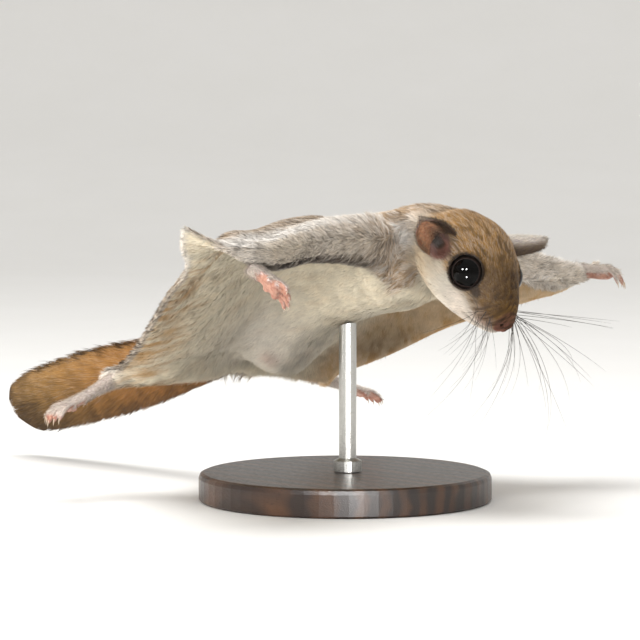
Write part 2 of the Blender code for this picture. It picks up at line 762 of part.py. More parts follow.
def build_ear(side, finish, parent):
    """A cupped leaf: an outer and an inner face that meet at the rim."""
    ear = EARS[side]
    along = unit(ear["along"])
    opening = np.array(ear["open"], float)
    opening = unit(opening - along * (opening @ along))
    across = np.cross(opening, along)
    rows, columns = EAR_ROWS, EAR_COLUMNS
    start, reach, power = EAR_OUTLINE
    outer, inner = [], []
    for row in range(rows):
        t = row / (rows - 1)
        width = EAR_HALF_WIDTH * math.sin(math.pi * (start + reach * t))**power
        for column in range(columns):
            s = 2 * column / (columns - 1) - 1
            cup = EAR_CUP * (1 - s * s) * (1 - EAR_CUP_FADE[0] * t) * (1 - EAR_CUP_FADE[1] * t)
            place = np.array(ear["root"]) + along * (EAR_LENGTH * t - EAR_ROOT_SUNK)
            place = place + across * width * s - opening * cup
            inside = min(1.0, EAR_THINNING[0] * (1 - abs(s))) * min(1.0, EAR_THINNING[1] * (1 - t))
            half = EAR_HALF_THICKNESS * (EAR_RIM_SHARE + (1 - EAR_RIM_SHARE) * inside)
            outward = unit(across * s * EAR_CUP / EAR_HALF_WIDTH - opening)
            outer.append(place + outward * half)
            inner.append(place - outward * half)
    points = np.array(outer + inner)
    faces = []
    count = rows * columns
    for row in range(rows - 1):
        for column in range(columns - 1):
            a = row * columns + column
            b, c, d = a + 1, a + columns + 1, a + columns
            faces += [(a, b, c), (a, c, d)]
            faces += [(count + a, count + c, count + b), (count + a, count + d, count + c)]
    border = [(0, i) for i in range(columns)]
    border += [(i, columns - 1) for i in range(1, rows)]
    border += [(rows - 1, i) for i in range(columns - 2, -1, -1)]
    border += [(i, 0) for i in range(rows - 2, 0, -1)]
    loop = [row * columns + column for row, column in border]
    for a, b in zip(loop, loop[1:] + loop[:1]):
        faces.append((a, count + a, count + b, b))
    return make_piece("ear_" + side, to_body(points), faces, finish, parent)


def build_neck(ring, finish, parent):
    count = len(ring) // 2
    turns = [math.pi - math.pi * (k + 0.5) / count for k in range(count)]
    turns += [-math.pi * (k + 0.5) / count for k in range(count)]
    half = NECK_END_HALF
    target = to_body([(NECK_END_X, half * math.cos(a), NECK_END_LIFT + half * math.sin(a)) for a in turns])
    rings = []
    for t in np.linspace(0, 1, NECK_RINGS):
        section = ring * (1 - t) + target * t
        centre = section.mean(0)
        rings.append(centre + (section - centre) * (1 + NECK_SWELL * math.sin(math.pi * t)))
    points, faces = tube(rings)
    return make_piece("neck", points, faces, finish, parent)


def digit(start, lean, length, radius, curl):
    """One toe or finger that curls down and ends in a claw."""
    direction = unit(np.array([1.0, lean, 0.0]))
    across = np.array([-direction[1], direction[0], 0.0])
    up = np.array([0.0, 0.0, 1.0])
    sections = []
    for share, size, drop in DIGIT_STATIONS:
        centre = start + direction * length * share + up * drop * curl * length
        sections.append(ring_of(centre, across, up, radius * size, radius * size, 6))
    tip = start + direction * (length + CLAW_LENGTH) + up * DIGIT_TIP_DROP * curl * length
    sections.append(tip + (sections[-1] - sections[-1].mean(0)) * DIGIT_TIP_SIZE)
    return tube(sections)


def paw(name, place, palm, digits, curl, finish, parent):
    """A palm or sole with its digits, from a limb end's place and directions."""
    axes = frame_from(place["along"], place["back"])
    across, up = np.array([0.0, 1.0, 0.0]), np.array([0.0, 0.0, 1.0])
    rings = [ring_of(np.array([x, 0.0, lift]), across, up, width, height, 10)
             for x, width, height, lift in palm]
    shapes = [tube(rings)]
    for start, lean, length, radius in digits:
        shapes.append(digit(np.array(start, float), lean, length, radius, curl))
    shapes = [(points @ axes + np.array(place["root"]), faces) for points, faces in shapes]
    return fuse(name, shapes, finish, parent)


def build_hand(side, finish, parent):
    return paw("hand_" + side, HANDS[side], HAND_PALM, HAND_DIGITS, HAND_CURL, finish, parent)


def build_foot(side, finish, parent):
    longest, shorter = TOE_LENGTHS
    toes = [((TOE_ROOT, TOE_SPACING * toe, -0.2), TOE_LEAN * toe, longest - shorter * abs(toe), TOE_RADIUS)
            for toe in FOOT_TOES]
    return paw("foot_" + side, FEET[side], FOOT_SOLE, toes, FOOT_CURL, finish, parent)


# Tail: a core and its locks.

def tail_frame(share):
    """Centre, length, width and thickness directions at a share of the tail."""
    before, centre, after = curve_at(TAIL_LINE, [share - 0.02, share, share + 0.02])
    along = unit(after - before)
    across = unit(np.cross((0, 0, 1), -along))
    up = np.cross(-along, across)
    roll = math.radians(TAIL_ROLL)
    wide = across * math.cos(roll) - up * math.sin(roll)
    return centre, along, wide, np.cross(wide, along)


def tail_point(share, angle, depth):
    """A point in the coat: its angle round the tail, and its depth from 0 in the middle to 1."""
    centre, _, wide, flat = tail_frame(share)
    width, height = curve_at(TAIL_STATIONS, share)[0]
    return centre + (wide * width * math.cos(angle) + flat * height * math.sin(angle)) * depth


def lock(points, flat, half_width):
    """A flat tapered lock along a few points, its broad faces turned to `flat`."""
    path = [(0.0, *points[0]), (0.5, *points[1]), (1.0, *points[2])]
    rings = []
    for share, width, thickness in LOCK_STATIONS:
        before, centre, after = curve_at(path, [share - 0.04, share, share + 0.04])
        along = unit(after - before)
        across = unit(np.cross(flat, along))
        up = np.cross(along, across)
        rings.append(ring_of(centre, across, up, half_width * width, LOCK_HALF_THICKNESS * thickness, 4))
    shape, faces = tube(rings)
    shape[-1] = points[2]
    return shape, faces


def tail_lock(chance, root, length, angle, half_width, spread=1.0):
    shift = chance.uniform(-1, 1, 3) * LOCK_VARIATION
    root = max(root + shift[0] * LOCK_ROOT_STRAY, 0.0)
    angle = math.radians(angle) + shift[1] * LOCK_ANGLE_STRAY
    length = min(length * (1 + shift[2]), 1.0 - root)
    points = [tail_point(root + share * length, angle, depth * spread)
              for share, depth in zip((0.0, 0.5, 1.0), LOCK_DEPTHS)]
    return lock(points, tail_frame(root)[3], half_width)


def build_tail(finish, parent):
    chance = np.random.default_rng(LOCK_SEED)
    rings = []
    for share, part in TAIL_CORE:
        centre, _, wide, flat = tail_frame(share)
        width, height = curve_at(TAIL_STATIONS, share)[0] * part
        rings.append(ring_of(centre, wide, flat, width, height, TAIL_CORE_SIDES))
    shapes = [tube(rings)]
    for angle, count, first, last, length, half_width in LOCK_ROWS:
        for root in np.linspace(first, last, count):
            shapes.append(tail_lock(chance, root, length, angle, half_width))
    for spread in np.linspace(-TIP_LOCK_SPREAD, TIP_LOCK_SPREAD, TIP_LOCKS):
        reach = 1.0 - TIP_LOCK_ROOT
        shapes.append(tail_lock(chance, TIP_LOCK_ROOT, reach, 0.0, TIP_LOCK_HALF_WIDTH, spread))
    return fuse("tail", shapes, finish, parent, "MANIFOLD")


# Stand.

def turned(profile, sides, place=(0.0, 0.0)):
    east, north = np.array([1.0, 0.0, 0.0]), np.array([0.0, 1.0, 0.0])
    return tube([ring_of(np.array([*place, height]), east, north, radius, radius, sides)
                 for radius, height in profile])


def build_stand(torso, wood, metal):
    edge = BASE_RADIUS - BASE_BEVEL
    round_out = BASE_BEVEL * math.cos(math.radians(45))
    profile = [(BASE_RADIUS - BASE_FOOT_BEVEL, 0.0), (BASE_RADIUS, BASE_FOOT_BEVEL),
               (BASE_RADIUS, BASE_HEIGHT - BASE_BEVEL),
               (edge + round_out, BASE_HEIGHT - BASE_BEVEL + round_out), (edge, BASE_HEIGHT)]
    base = make_piece("stand_base", *turned(profile, BASE_SIDES), wood)
    foot = BASE_HEIGHT + SEAM
    cuff_top = foot + ROD_CUFF_HEIGHT
    rod_profile = [(ROD_CUFF_RADIUS, foot), (ROD_CUFF_RADIUS, cuff_top),
                   (ROD_RADIUS, cuff_top + ROD_CUFF_BEVEL), (ROD_RADIUS, BODY_PLACE[2] + ROD_INTO_BELLY)]
    rod = make_piece("stand_rod", *turned(rod_profile, ROD_SIDES, ROD_PLACE), metal)
    seam_between(rod, torso)
    for piece in (base, rod):
        piece.data.set_sharp_from_angle(angle=math.radians(SHARP_ANGLE))


# Colours seen on each part of the coat, with their roughness.
BACK_GREY = ((0.42, 0.35, 0.28), 0.85)
CREAM = ((0.72, 0.66, 0.50), 0.85)
HEAD_TAN = ((0.48, 0.34, 0.20), 0.85)
TAIL_BROWN = ((0.42, 0.27, 0.14), 0.88)
PALM_PINK = ((0.70, 0.40, 0.33), 0.55)
EAR_PINK = ((0.62, 0.38, 0.30), 0.60)
EYE_BLACK = ((0.010, 0.008, 0.008), 0.05)
DARK_WOOD = ((0.10, 0.055, 0.03), 0.35)
BRUSHED_STEEL = ((0.60, 0.60, 0.60), 0.30, 1.0)


def build_animal(parent):
    middle, top, bottom, depths, span = body_surfaces()

    def zone(name, low_depth, high_depth, low_span, high_span, side, finish):
        mask = cell_mask(depths, span, low_depth, high_depth, low_span, high_span, side)
        return mask, grid_piece(name, mask, middle, top, bottom, finish, parent)

    pieces = {}
    trunk_mask, pieces["torso"] = zone("torso", 0, 1, 0, SHOULDER_SPAN, "both", BACK_GREY)
    for side in ("right", "left"):
        used = trunk_mask.copy()
        for name, depth, spans in (
            ("upper_arm", (ARM_DEPTH, 1), (SHOULDER_SPAN, ELBOW_SPAN)),
            ("forearm", (ARM_DEPTH, 1), (ELBOW_SPAN, WRIST_SPAN)),
            ("thigh", (0, LEG_DEPTH), (SHOULDER_SPAN, KNEE_SPAN)),
            ("shank", (0, LEG_DEPTH), (KNEE_SPAN, 1)),
        ):
            mask, piece = zone(name + "_" + side, *depth, *spans, side, BACK_GREY)
            pieces[name + "_" + side] = piece
            used |= mask
        rest = cell_mask(depths, span, 0, 1, SHOULDER_SPAN, 1, side) & ~used
        membrane = grid_piece("patagium_" + side, rest, middle, top, bottom, CREAM, parent)
        pieces["patagium_" + side] = membrane

    head = build_head(HEAD_TAN, parent)
    seam_between(head, pieces["torso"])
    neck = build_neck(neck_ring(middle, top, bottom, span), HEAD_TAN, parent)
    seam_between(neck, pieces["torso"], head, pieces["upper_arm_right"], pieces["upper_arm_left"])
    tail = build_tail(TAIL_BROWN, parent)
    seam_between(tail, pieces["torso"], pieces["thigh_right"], pieces["thigh_left"])
    for side in ("right", "left"):
        make_piece("eye_" + side, *eyeball(side, EYE_RADIUS), EYE_BLACK, parent)
        ear = build_ear(side, EAR_PINK, parent)
        seam_between(ear, head, neck)
        hand = build_hand(side, PALM_PINK, parent)
        seam_between(hand, pieces["forearm_" + side], pieces["patagium_" + side])
        foot = build_foot(side, PALM_PINK, parent)
        seam_between(foot, pieces["shank_" + side], pieces["patagium_" + side])
    return pieces["torso"]


def main():
    for thing in list(bpy.data.objects):
        bpy.data.objects.remove(thing)
    animal = bpy.data.objects.new("animal", None)
    bpy.context.scene.collection.objects.link(animal)
    pitch = Matrix.Rotation(math.radians(-NOSE_UP), 4, "Y")
    roll = Matrix.Rotation(math.radians(-LEFT_SIDE_LOW), 4, "X")
    heading = Matrix.Rotation(math.radians(-90), 4, "Z")
    place = Matrix.Translation(Vector(BODY_PLACE) * MM)
    animal.matrix_world = place @ heading @ pitch @ roll
    bpy.context.view_layer.update()
    torso = build_animal(animal)
    build_stand(torso, DARK_WOOD, BRUSHED_STEEL)


main()
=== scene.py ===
import itertools
import json
import math

import bmesh
import bpy
import numpy as np
from mathutils import Euler, Matrix, Vector
from mathutils.bvhtree import BVHTree

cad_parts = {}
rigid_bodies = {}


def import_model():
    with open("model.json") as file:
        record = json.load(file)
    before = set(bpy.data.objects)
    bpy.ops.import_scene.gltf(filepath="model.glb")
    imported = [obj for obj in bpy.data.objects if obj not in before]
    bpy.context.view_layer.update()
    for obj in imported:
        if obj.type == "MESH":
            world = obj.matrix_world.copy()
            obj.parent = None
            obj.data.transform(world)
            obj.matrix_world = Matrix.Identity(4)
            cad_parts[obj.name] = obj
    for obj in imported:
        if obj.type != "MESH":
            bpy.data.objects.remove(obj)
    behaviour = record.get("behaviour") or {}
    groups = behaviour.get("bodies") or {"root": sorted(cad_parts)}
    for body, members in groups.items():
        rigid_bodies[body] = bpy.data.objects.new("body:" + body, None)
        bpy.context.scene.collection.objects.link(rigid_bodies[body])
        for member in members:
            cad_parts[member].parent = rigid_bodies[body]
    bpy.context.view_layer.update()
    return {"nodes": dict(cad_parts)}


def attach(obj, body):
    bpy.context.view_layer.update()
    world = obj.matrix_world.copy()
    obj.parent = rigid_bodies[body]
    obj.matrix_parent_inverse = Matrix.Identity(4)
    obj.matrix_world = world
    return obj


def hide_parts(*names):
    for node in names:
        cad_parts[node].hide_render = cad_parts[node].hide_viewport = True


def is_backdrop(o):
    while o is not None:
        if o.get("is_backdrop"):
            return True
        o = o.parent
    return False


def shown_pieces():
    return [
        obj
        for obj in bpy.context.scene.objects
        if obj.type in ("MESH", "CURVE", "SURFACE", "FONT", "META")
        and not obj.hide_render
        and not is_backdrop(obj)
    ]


for leftOver in list(bpy.data.objects):
    bpy.data.objects.remove(leftOver)
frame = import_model()

mm = 0.001
sides = ("right", "left")


# colours as the eye sees them, turned into the values a shader wants
def tone(code):
    parts = [int(code[i:i + 2], 16) / 255 for i in (1, 3, 5)]
    return tuple(p / 12.92 if p <= 0.04045 else ((p + 0.055) / 1.055)**2.4 for p in parts)


# a socket that can be used in sums
class Wire:
    def __init__(self, finish, socket):
        self.finish = finish
        self.socket = socket

    def __add__(self, other):
        return self.finish.sum("ADD", self, other)

    def __sub__(self, other):
        return self.finish.sum("SUBTRACT", self, other)

    def __rsub__(self, other):
        return self.finish.sum("SUBTRACT", other, self)

    def __mul__(self, other):
        return self.finish.sum("MULTIPLY", self, other)

    def __pow__(self, other):
        return self.finish.sum("POWER", self, other)

    __radd__ = __add__
    __rmul__ = __mul__


class Finish:
    def __init__(self, name, fixed):
        self.material = bpy.data.materials.new(name)
        self.material.use_nodes = True
        self.tree = self.material.node_tree
        self.shader = self.tree.nodes["Principled BSDF"]
        for socket, value in fixed.items():
            self.shader.inputs[socket].default_value = value

    def put(self, socket, value):
        if isinstance(value, Wire):
            self.tree.links.new(value.socket, socket)
        elif isinstance(value, tuple) and socket.type == "RGBA":
            socket.default_value = (*value[:3], 1.0)
        else:
            socket.default_value = value

    def node(self, kind, settings, inputs, out=0):
        made = self.tree.nodes.new("ShaderNode" + kind)
        for key, value in settings.items():
            if key == "stops":
                while len(made.color_ramp.elements) < len(value):
                    made.color_ramp.elements.new(1.0)
                for stop, (place, shade) in zip(made.color_ramp.elements, value):
                    stop.position = place
                    stop.color = (*shade, 1.0) if isinstance(shade, tuple) else (shade, shade, shade, 1.0)
            else:
                setattr(made, key, value)
        for key, value in inputs.items():
            self.put(made.inputs[key], value)
        return Wire(self, made.outputs[out])

    def sum(self, operation, a, b):
        return self.node("Math", {"operation": operation}, {0: a, 1: b})

    def clip(self, value):
        return self.node("Clamp", {}, {"Value": value})

    def mix(self, factor, a, b, blend="MIX"):
        settings = {"data_type": "RGBA", "blend_type": blend}
        return self.node("Mix", settings, {"Factor": factor, 6: a, 7: b}, 2)

    def attribute(self, name):
        spread = self.node("Attribute", {"attribute_name": name}, {}, "Vector")
        parts = self.tree.nodes.new("ShaderNodeSeparateXYZ")
        self.put(parts.inputs[0], spread)
        return [Wire(self, parts.outputs[i]) for i in range(3)]

    def place(self):
        return self.node("TexCoord", {}, {}, "Object")

    def noise(self, scale, detail=3.0, vector=None, roughness=0.5):
        inputs = {"Vector": vector or self.place(), "Scale": scale, "Detail": detail, "Roughness": roughness}
        return self.node("TexNoise", {}, inputs)

    def range(self, value, low, high, start=0.0, end=1.0):
        inputs = {"Value": value, "From Min": low, "From Max": high, "To Min": start, "To Max": end}
        return self.node("MapRange", {"clamp": True}, inputs)

    def bump(self, height, distance, strength=1.0):
        return self.node("Bump", {}, {"Height": height, "Distance": distance, "Strength": strength})

    def feed(self, **wires):
        for key, value in wires.items():
            name = {"colour": "Base Color", "roughness": "Roughness", "normal": "Normal", "coat": "Coat Weight"}[key]
            self.put(self.shader.inputs[name], value)


# small maths on rows of points
def unit(rows):
    rows = np.asarray(rows, float)
    return rows / np.maximum(np.linalg.norm(rows, axis=-1, keepdims=True), 1e-9)


def ramp(value, low, high):
    t = np.clip((np.asarray(value, float) - low) / (high - low), 0.0, 1.0)
    return t * t * (3 - 2 * t)


def curveAt(stations, at):
    stations = np.array(stations, float)
    place, values = stations[:, 0], stations[:, 1:]
    at = np.clip(np.atleast_1d(np.asarray(at, float)), place[0], place[-1])
    slopes = np.gradient(values, place, axis=0)
    first = np.clip(np.searchsorted(place, at, side="right") - 1, 0, len(place) - 2)
    step = (place[first + 1] - place[first])[:, None]
    t = (at - place[first])[:, None] / step
    start, end = values[first], values[first + 1]
    return (start * (2 * t**3 - 3 * t**2 + 1) + end * (3 * t**2 - 2 * t**3)
            + slopes[first] * step * (t**3 - 2 * t**2 + t) + slopes[first + 1] * step * (t**3 - t**2))


def speckle(cells, seed):
    mixed = (cells[..., 0] * 73856093) ^ (cells[..., 1] * 19349663) ^ (cells[..., 2] * 83492791) ^ (seed * 97531)
    mixed = (mixed ^ (mixed >> 13)) * 1274126177
    return ((mixed ^ (mixed >> 16)) & 0xFFFFFF) / 0xFFFFFF


def cloud(points, size, seed=0):
    scaled = np.asarray(points, float) / size
    cell = np.floor(scaled).astype(np.int64)
    part = scaled - cell
    part = part * part * (3 - 2 * part)
    total = 0.0
    for corner in itertools.product((0, 1), repeat=3):
        weight = np.prod(np.where(corner, part, 1 - part), axis=-1)
        total = total + weight * speckle(cell + np.array(corner), seed)
    return total


def nearLine(points, line):
    line = np.array(line, float)
    best = np.full(len(points), 1e9)
    for start, end in zip(line[:-1], line[1:]):
        span = end - start
        t = np.clip(((points - start) @ span) / (span @ span), 0, 1)
        best = np.minimum(best, np.linalg.norm(points - start - t[:, None] * span, axis=1))
    return best


# where the body and the head lie, as in the solids: x to the nose, y to the left, z up
bodyPose = {"place": (0.0, 5.7, 50.6), "noseUp": 19.1, "leftLow": 3.0}
headPose = {"place": (57.1, -1.0, -1.7), "tilt": -6.0, "nod": 56.0, "turn": -2.7}


def turning(angle, axis):
    return np.array(Matrix.Rotation(math.radians(angle), 3, axis))


bodyAxes = turning(-90, "Z") @ turning(-bodyPose["noseUp"], "Y") @ turning(-bodyPose["leftLow"], "X")
headAxes = np.array(Euler([math.radians(headPose[k]) for k in ("tilt", "nod", "turn")], "XYZ").to_matrix())


def toWorld(body):
    return (np.asarray(body, float) @ bodyAxes.T + np.array(bodyPose["place"])) * mm


def toBody(world):
    return (np.asarray(world, float) / mm - np.array(bodyPose["place"])) @ bodyAxes


def headToBody(points):
    return np.asarray(points, float) @ headAxes.T + np.array(headPose["place"])


def bodyToHead(points):
    return (np.asarray(points, float) - np.array(headPose["place"])) @ headAxes


def axesFrom(along, back):
    forward = unit(along)
    left = unit(np.cross(back, forward))
    return np.array([forward, left, np.cross(forward, left)])


# meshes from arrays
def shapeMesh(name, points, faces, finish=None, smooth=True):
    points, faces = np.asarray(points, float), np.asarray(faces, np.int32)
    mesh = bpy.data.meshes.new(name)
    mesh.vertices.add(len(points))
    mesh.vertices.foreach_set("co", points.astype(np.float32).ravel())
    mesh.loops.add(faces.size)
    mesh.loops.foreach_set("vertex_index", faces.ravel())
    mesh.polygons.add(len(faces))
    mesh.polygons.foreach_set("loop_start", np.arange(0, faces.size, faces.shape[1], dtype=np.int32))
    mesh.update(calc_edges=True)
    if smooth:
        mesh.shade_smooth()
    piece = bpy.data.objects.new(name, mesh)
    bpy.context.scene.collection.objects.link(piece)
    if finish:
        mesh.materials.append(finish.material)
    return piece


def readMesh(mesh):
    points = np.empty(len(mesh.vertices) * 3, np.float32)
    mesh.vertices.foreach_get("co", points)
    mesh.calc_loop_triangles()
    faces = np.empty(len(mesh.loop_triangles) * 3, np.int32)
    mesh.loop_triangles.foreach_get("vertices", faces)
    return points.reshape(-1, 3).astype(float), faces.reshape(-1, 3)


def welded(points, faces):
    _, first, same = np.unique(np.round(points / mm, 3), axis=0, return_index=True, return_inverse=True)
    faces = same.ravel()[faces]
    real = (faces[:, 0] != faces[:, 1]) & (faces[:, 1] != faces[:, 2]) & (faces[:, 2] != faces[:, 0])
    return points[first], faces[real]


def vertexNormals(points, faces):
    a, b, c = (points[faces[:, i]] for i in range(3))
    flat = np.cross(b - a, c - a)
    total = np.zeros_like(points)
    for i in range(3):
        for k in range(3):
            total[:, k] += np.bincount(faces[:, i], flat[:, k], len(points))
    return unit(total)


def relax(points, faces, rounds, weight=0.5, back=-0.53, keep=None):
    pairs = np.concatenate([faces[:, [0, 1]], faces[:, [1, 2]], faces[:, [2, 0]]])
    pairs = np.unique(np.sort(pairs, axis=1), axis=0)
    count = np.maximum(np.bincount(pairs.ravel(), minlength=len(points)), 1)[:, None]
    for _ in range(rounds):
        for step in (weight, back):
            if not step:
                continue
            total = np.zeros_like(points)
            for k in range(3):
                total[:, k] = (np.bincount(pairs[:, 0], points[pairs[:, 1], k], len(points))
                               + np.bincount(pairs[:, 1], points[pairs[:, 0], k], len(points)))
            move = (total / count - points) * step
            points = points + (move if keep is None else move * keep[:, None])
    return points


def tube(rings):
    rings = [np.asarray(ring, float) for ring in rings]
    count = len(rings[0])
    points = np.concatenate(rings + [rings[0].mean(0)[None], rings[-1].mean(0)[None]])
    low, high, last = len(points) - 2, len(points) - 1, (len(rings) - 1) * count
    faces = []
    for side in range(count):
        after = (side + 1) % count
        for row in range(len(rings) - 1):
            a, b, c, d = row * count + side, row * count + after, (row + 1) * count + after, (row + 1) * count + side
            faces += [(a, c, b), (a, d, c)]
        faces += [(low, side, after), (high, last + after, last + side)]
    return points, np.array(faces)


def oval(centre, across, up, halfWidth, halfHeight, count):
    turn = np.linspace(0, 2 * math.pi, count, endpoint=False)[:, None]
    return centre + across * halfWidth * np.cos(turn) + up * halfHeight * np.sin(turn)


def joined(shapes):
    points, faces, offset = [], [], 0
    for shape, sheet in shapes:
        points.append(shape)
        faces.append(np.asarray(sheet) + offset)
        offset += len(shape)
    return np.concatenate(points), np.concatenate(faces)


# one closed surface over overlapping shells, in millimetres
def melted(points, faces, size):
    source = shapeMesh("shells", points * mm, faces, smooth=False)
    step = source.modifiers.new("melt", "REMESH")
    step.mode = "VOXEL"
    step.voxel_size = size * mm
    bpy.context.view_layer.update()
    graph = bpy.context.evaluated_depsgraph_get()
    mesh = bpy.data.meshes.new_from_object(source.evaluated_get(graph))
    bpy.data.objects.remove(source)
    return mesh


def largest(mesh):
    shape = bmesh.new()
    shape.from_mesh(mesh)
    left, islands = set(shape.verts), []
    while left:
        stack = [left.pop()]
        island = list(stack)
        while stack:
            for edge in stack.pop().link_edges:
                for vert in edge.verts:
                    if vert in left:
                        left.discard(vert)
                        island.append(vert)
                        stack.append(vert)
        islands.append(island)
    islands.sort(key=len)
    for island in islands[:-1]:
        bmesh.ops.delete(shape, geom=island, context="VERTS")
    return shape


def setVectors(mesh, name, values):
    made = mesh.attributes.new(name, "FLOAT_VECTOR", "POINT")
    made.data.foreach_set("vector", np.asarray(values, np.float32).ravel())


def settle(piece, slotName, *nodes):
    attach(piece, "root")
    if nodes:
        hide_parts(*nodes)
    return piece


# the tail's line and outline, as in the solids
tail = {
    "roll": 62.0, "length": 112.0,
    "line": [(0.00, -38.0, 0.0, 2.5), (0.25, -66.0, 1.0, 6.2), (0.50, -94.0, 2.3, 9.6),
             (0.75, -122.0, 3.5, 12.4), (1.00, -150.0, 4.7, 14.8)],
    "outline": [(0.00, 5.5, 5.0), (0.10, 6.9, 5.2), (0.22, 8.6, 5.0), (0.45, 12.5, 4.6), (0.60, 13.8, 4.4),
                (0.75, 13.8, 4.2), (0.88, 12.0, 3.6), (0.96, 8.4, 2.6), (1.00, 4.0, 1.4)],
    "core": [(0.0, 0.85), (0.10, 0.66), (0.22, 0.45), (0.75, 0.42), (0.90, 0.30)],
    "hairs": 36000, "hairLength": (6.5, 10.5), "hairWidth": 0.36,
}


def tailFrame(share):
    share = np.atleast_1d(share)
    centre = curveAt(tail["line"], share)
    along = unit(curveAt(tail["line"], share + 0.02) - curveAt(tail["line"], share - 0.02))
    across = unit(np.cross((0, 0, 1), -along))
    up = np.cross(-along, across)
    roll = math.radians(tail["roll"])
    wide = across * math.cos(roll) - up * math.sin(roll)
    return centre, along, wide, np.cross(wide, along)


# skin: the flesh nodes melted into one surface and drawn in by the coat's depth
skin = {
    "voxel": 0.72, "swell": 0.32, "relaxing": 9, "mostOfThickness": 0.34,
    "nodes": ["head", "neck", "torso"] + [f"{part}_{side}" for side in sides
              for part in ("upper_arm", "forearm", "thigh", "shank", "patagium")],
    "headFrom": -10.0, "faceFrom": 9.0,
}
freeEdges = {
    "right": [(-49.0, -43.4, -3.0), (-34.0, -46.5, 1.5), (-17.0, -53.0, 5.5), (-2.0, -60.0, 8.0), (12.0, -67.0, 8.5),
              (24.0, -75.0, 9.5), (28.5, -80.0, 13.0), (36.0, -85.0, 16.0)],
    "left": [(-49.0, 43.4, -3.0), (-34.0, 45.0, -3.0), (-20.0, 47.0, -2.5), (-5.0, 54.5, 0.5), (10.0, 59.0, 0.8),
             (22.0, 64.5, 1.5), (27.0, 74.0, 3.5), (32.0, 87.0, 10.0)],
}
frontEdges = {
    "right": [(42.0, -10.0, 8.0), (43.0, -17.0, 6.2), (42.5, -42.0, 5.4), (42.5, -68.0, 3.6)],
    "left": [(42.0, 10.0, 8.0), (43.0, 17.0, 6.2), (42.5, 42.0, 5.4), (42.5, 68.0, 3.6)],
}
eyes = {"place": (5.2, 8.0, 2.6), "axis": (0.43, 0.86, 0.26), "radius": 4.6, "opening": 3.62}


def eyeAxes(side):
    sign = 1 if side == "left" else -1
    return np.array(eyes["place"]) * (1, sign, 1), axesFrom(np.array(eyes["axis"]) * (1, sign, 1), (0, 0, 1))


def coatDepth(body):
    head = bodyToHead(body)
    inHead = ramp(head[:, 0], -20, -10)
    face = curveAt([(-12, 1.1), (0, 0.8), (8, 0.6), (13, 0.3), (17, 0.12), (21, 0.05)], head[:, 0])[:, 0]
    trunk = 1.5 - 0.6 * ramp(np.abs(body[:, 1]), 16, 60)
    tailPart = ramp(body[:, 0], -46, -56)
    return (trunk * (1 - inHead) + face * inHead) * (1 - tailPart)


def buildSkinSurface():
    shells = []
    for name in skin["nodes"]:
        points, faces = welded(*readMesh(frame["nodes"][name].data))
        points = points / mm + vertexNormals(points, faces) * skin["swell"]
        shells.append((points, faces))
    rings = []
    for share, part in tail["core"]:
        centre, _, wide, flat = (row[0] for row in tailFrame(share))
        width, height = curveAt(tail["outline"], share)[0] * part
        rings.append(oval(centre, wide, flat, width, height, 24))
    core, coreFaces = tube(rings)
    shells.append((toWorld(core) / mm, coreFaces))
    shape = largest(melted(*joined(shells), skin["voxel"]))
    for limit in (skin["headFrom"], skin["faceFrom"]):
        inside = {}
        for vert in shape.verts:
            spot = bodyToHead(toBody(np.array(vert.co)))
            inside[vert] = spot[0] > limit
        edges = [edge for edge in shape.edges if inside[edge.verts[0]] and inside[edge.verts[1]]]
        bmesh.ops.subdivide_edges(shape, edges=edges, cuts=1, use_grid_fill=True)
    bmesh.ops.triangulate(shape, faces=shape.faces)
    mesh = bpy.data.meshes.new("skin")
    shape.to_mesh(mesh)
    shape.free()
    points, faces = readMesh(mesh)
    return points / mm, faces


def thicknessAt(points, normals, faces, most=12.0):
    tree = BVHTree.FromPolygons(points.tolist(), faces.tolist())
    starts, ways = (points - normals * 0.02).tolist(), (-normals).tolist()
    found = [tree.ray_cast(start, way, most)[3] for start, way in zip(starts, ways)]
    return np.array([most if hit is None else hit for hit in found])


face = {
    "mouthCorner": (10.5, 6.6, -7.6), "mouthFront": (19.2, 0.0, -6.4), "mouthDepth": 0.55, "mouthWidth": 0.5,
    "nostril": (19.7, 1.65, -3.3), "nostrilDepth": 0.9, "nostrilRadius": 0.62, "wing": 0.28, "groove": 0.22,
    "earHole": (-3.1, 11.5, 3.2), "earHoleShadow": (-4.9, 12.4, 3.8), "earDepth": 3.0, "earRadius": 2.5,
}


def mouthLine():
    corner, front = np.array(face["mouthCorner"]), np.array(face["mouthFront"])
    line = []
    for angle in np.linspace(-math.pi / 2, math.pi / 2, 25):
        height = front[2] + (corner[2] - front[2]) * math.sin(angle)**2
        line.append((corner[0] + (front[0] - corner[0]) * math.cos(angle), corner[1] * math.sin(angle), height))
    return line


def carveFace(points, normals):
    head = bodyToHead(toBody(points * mm))
    near = head[:, 0] > 5
    push = np.zeros(len(points))
    flat = head.copy()
    lips = np.abs(head[near][:, 2] - np.interp(np.abs(head[near][:, 1]), [0, 3, 6.6], [-6.4, -6.8, -7.6]))
    reach = ramp(head[near][:, 0], 9.5, 11.5)
    push[near] -= face["mouthDepth"] * np.exp(-(lips / face["mouthWidth"])**2) * reach
    for sign in (-1, 1):
        spot = np.array(face["nostril"]) * (1, sign, 1)
        away = np.linalg.norm((flat - spot) * (0.6, 1.0, 1.25), axis=1)
        push += face["wing"] * np.exp(-((away - 1.0) / 0.5)**2)
        push -= face["nostrilDepth"] * np.exp(-(away / face["nostrilRadius"])**2)
        ear = np.linalg.norm(flat - np.array(face["earHole"]) * (1, sign, 1), axis=1)
        push -= face["earDepth"] * np.exp(-(ear / face["earRadius"])**2)
    middle = np.exp(-(head[:, 1] / 0.35)**2) * ramp(head[:, 0], 17.5, 19.5) * ramp(head[:, 2], -1.5, -3.0)
    push -= face["groove"] * middle
    return points + normals * push[:, None]


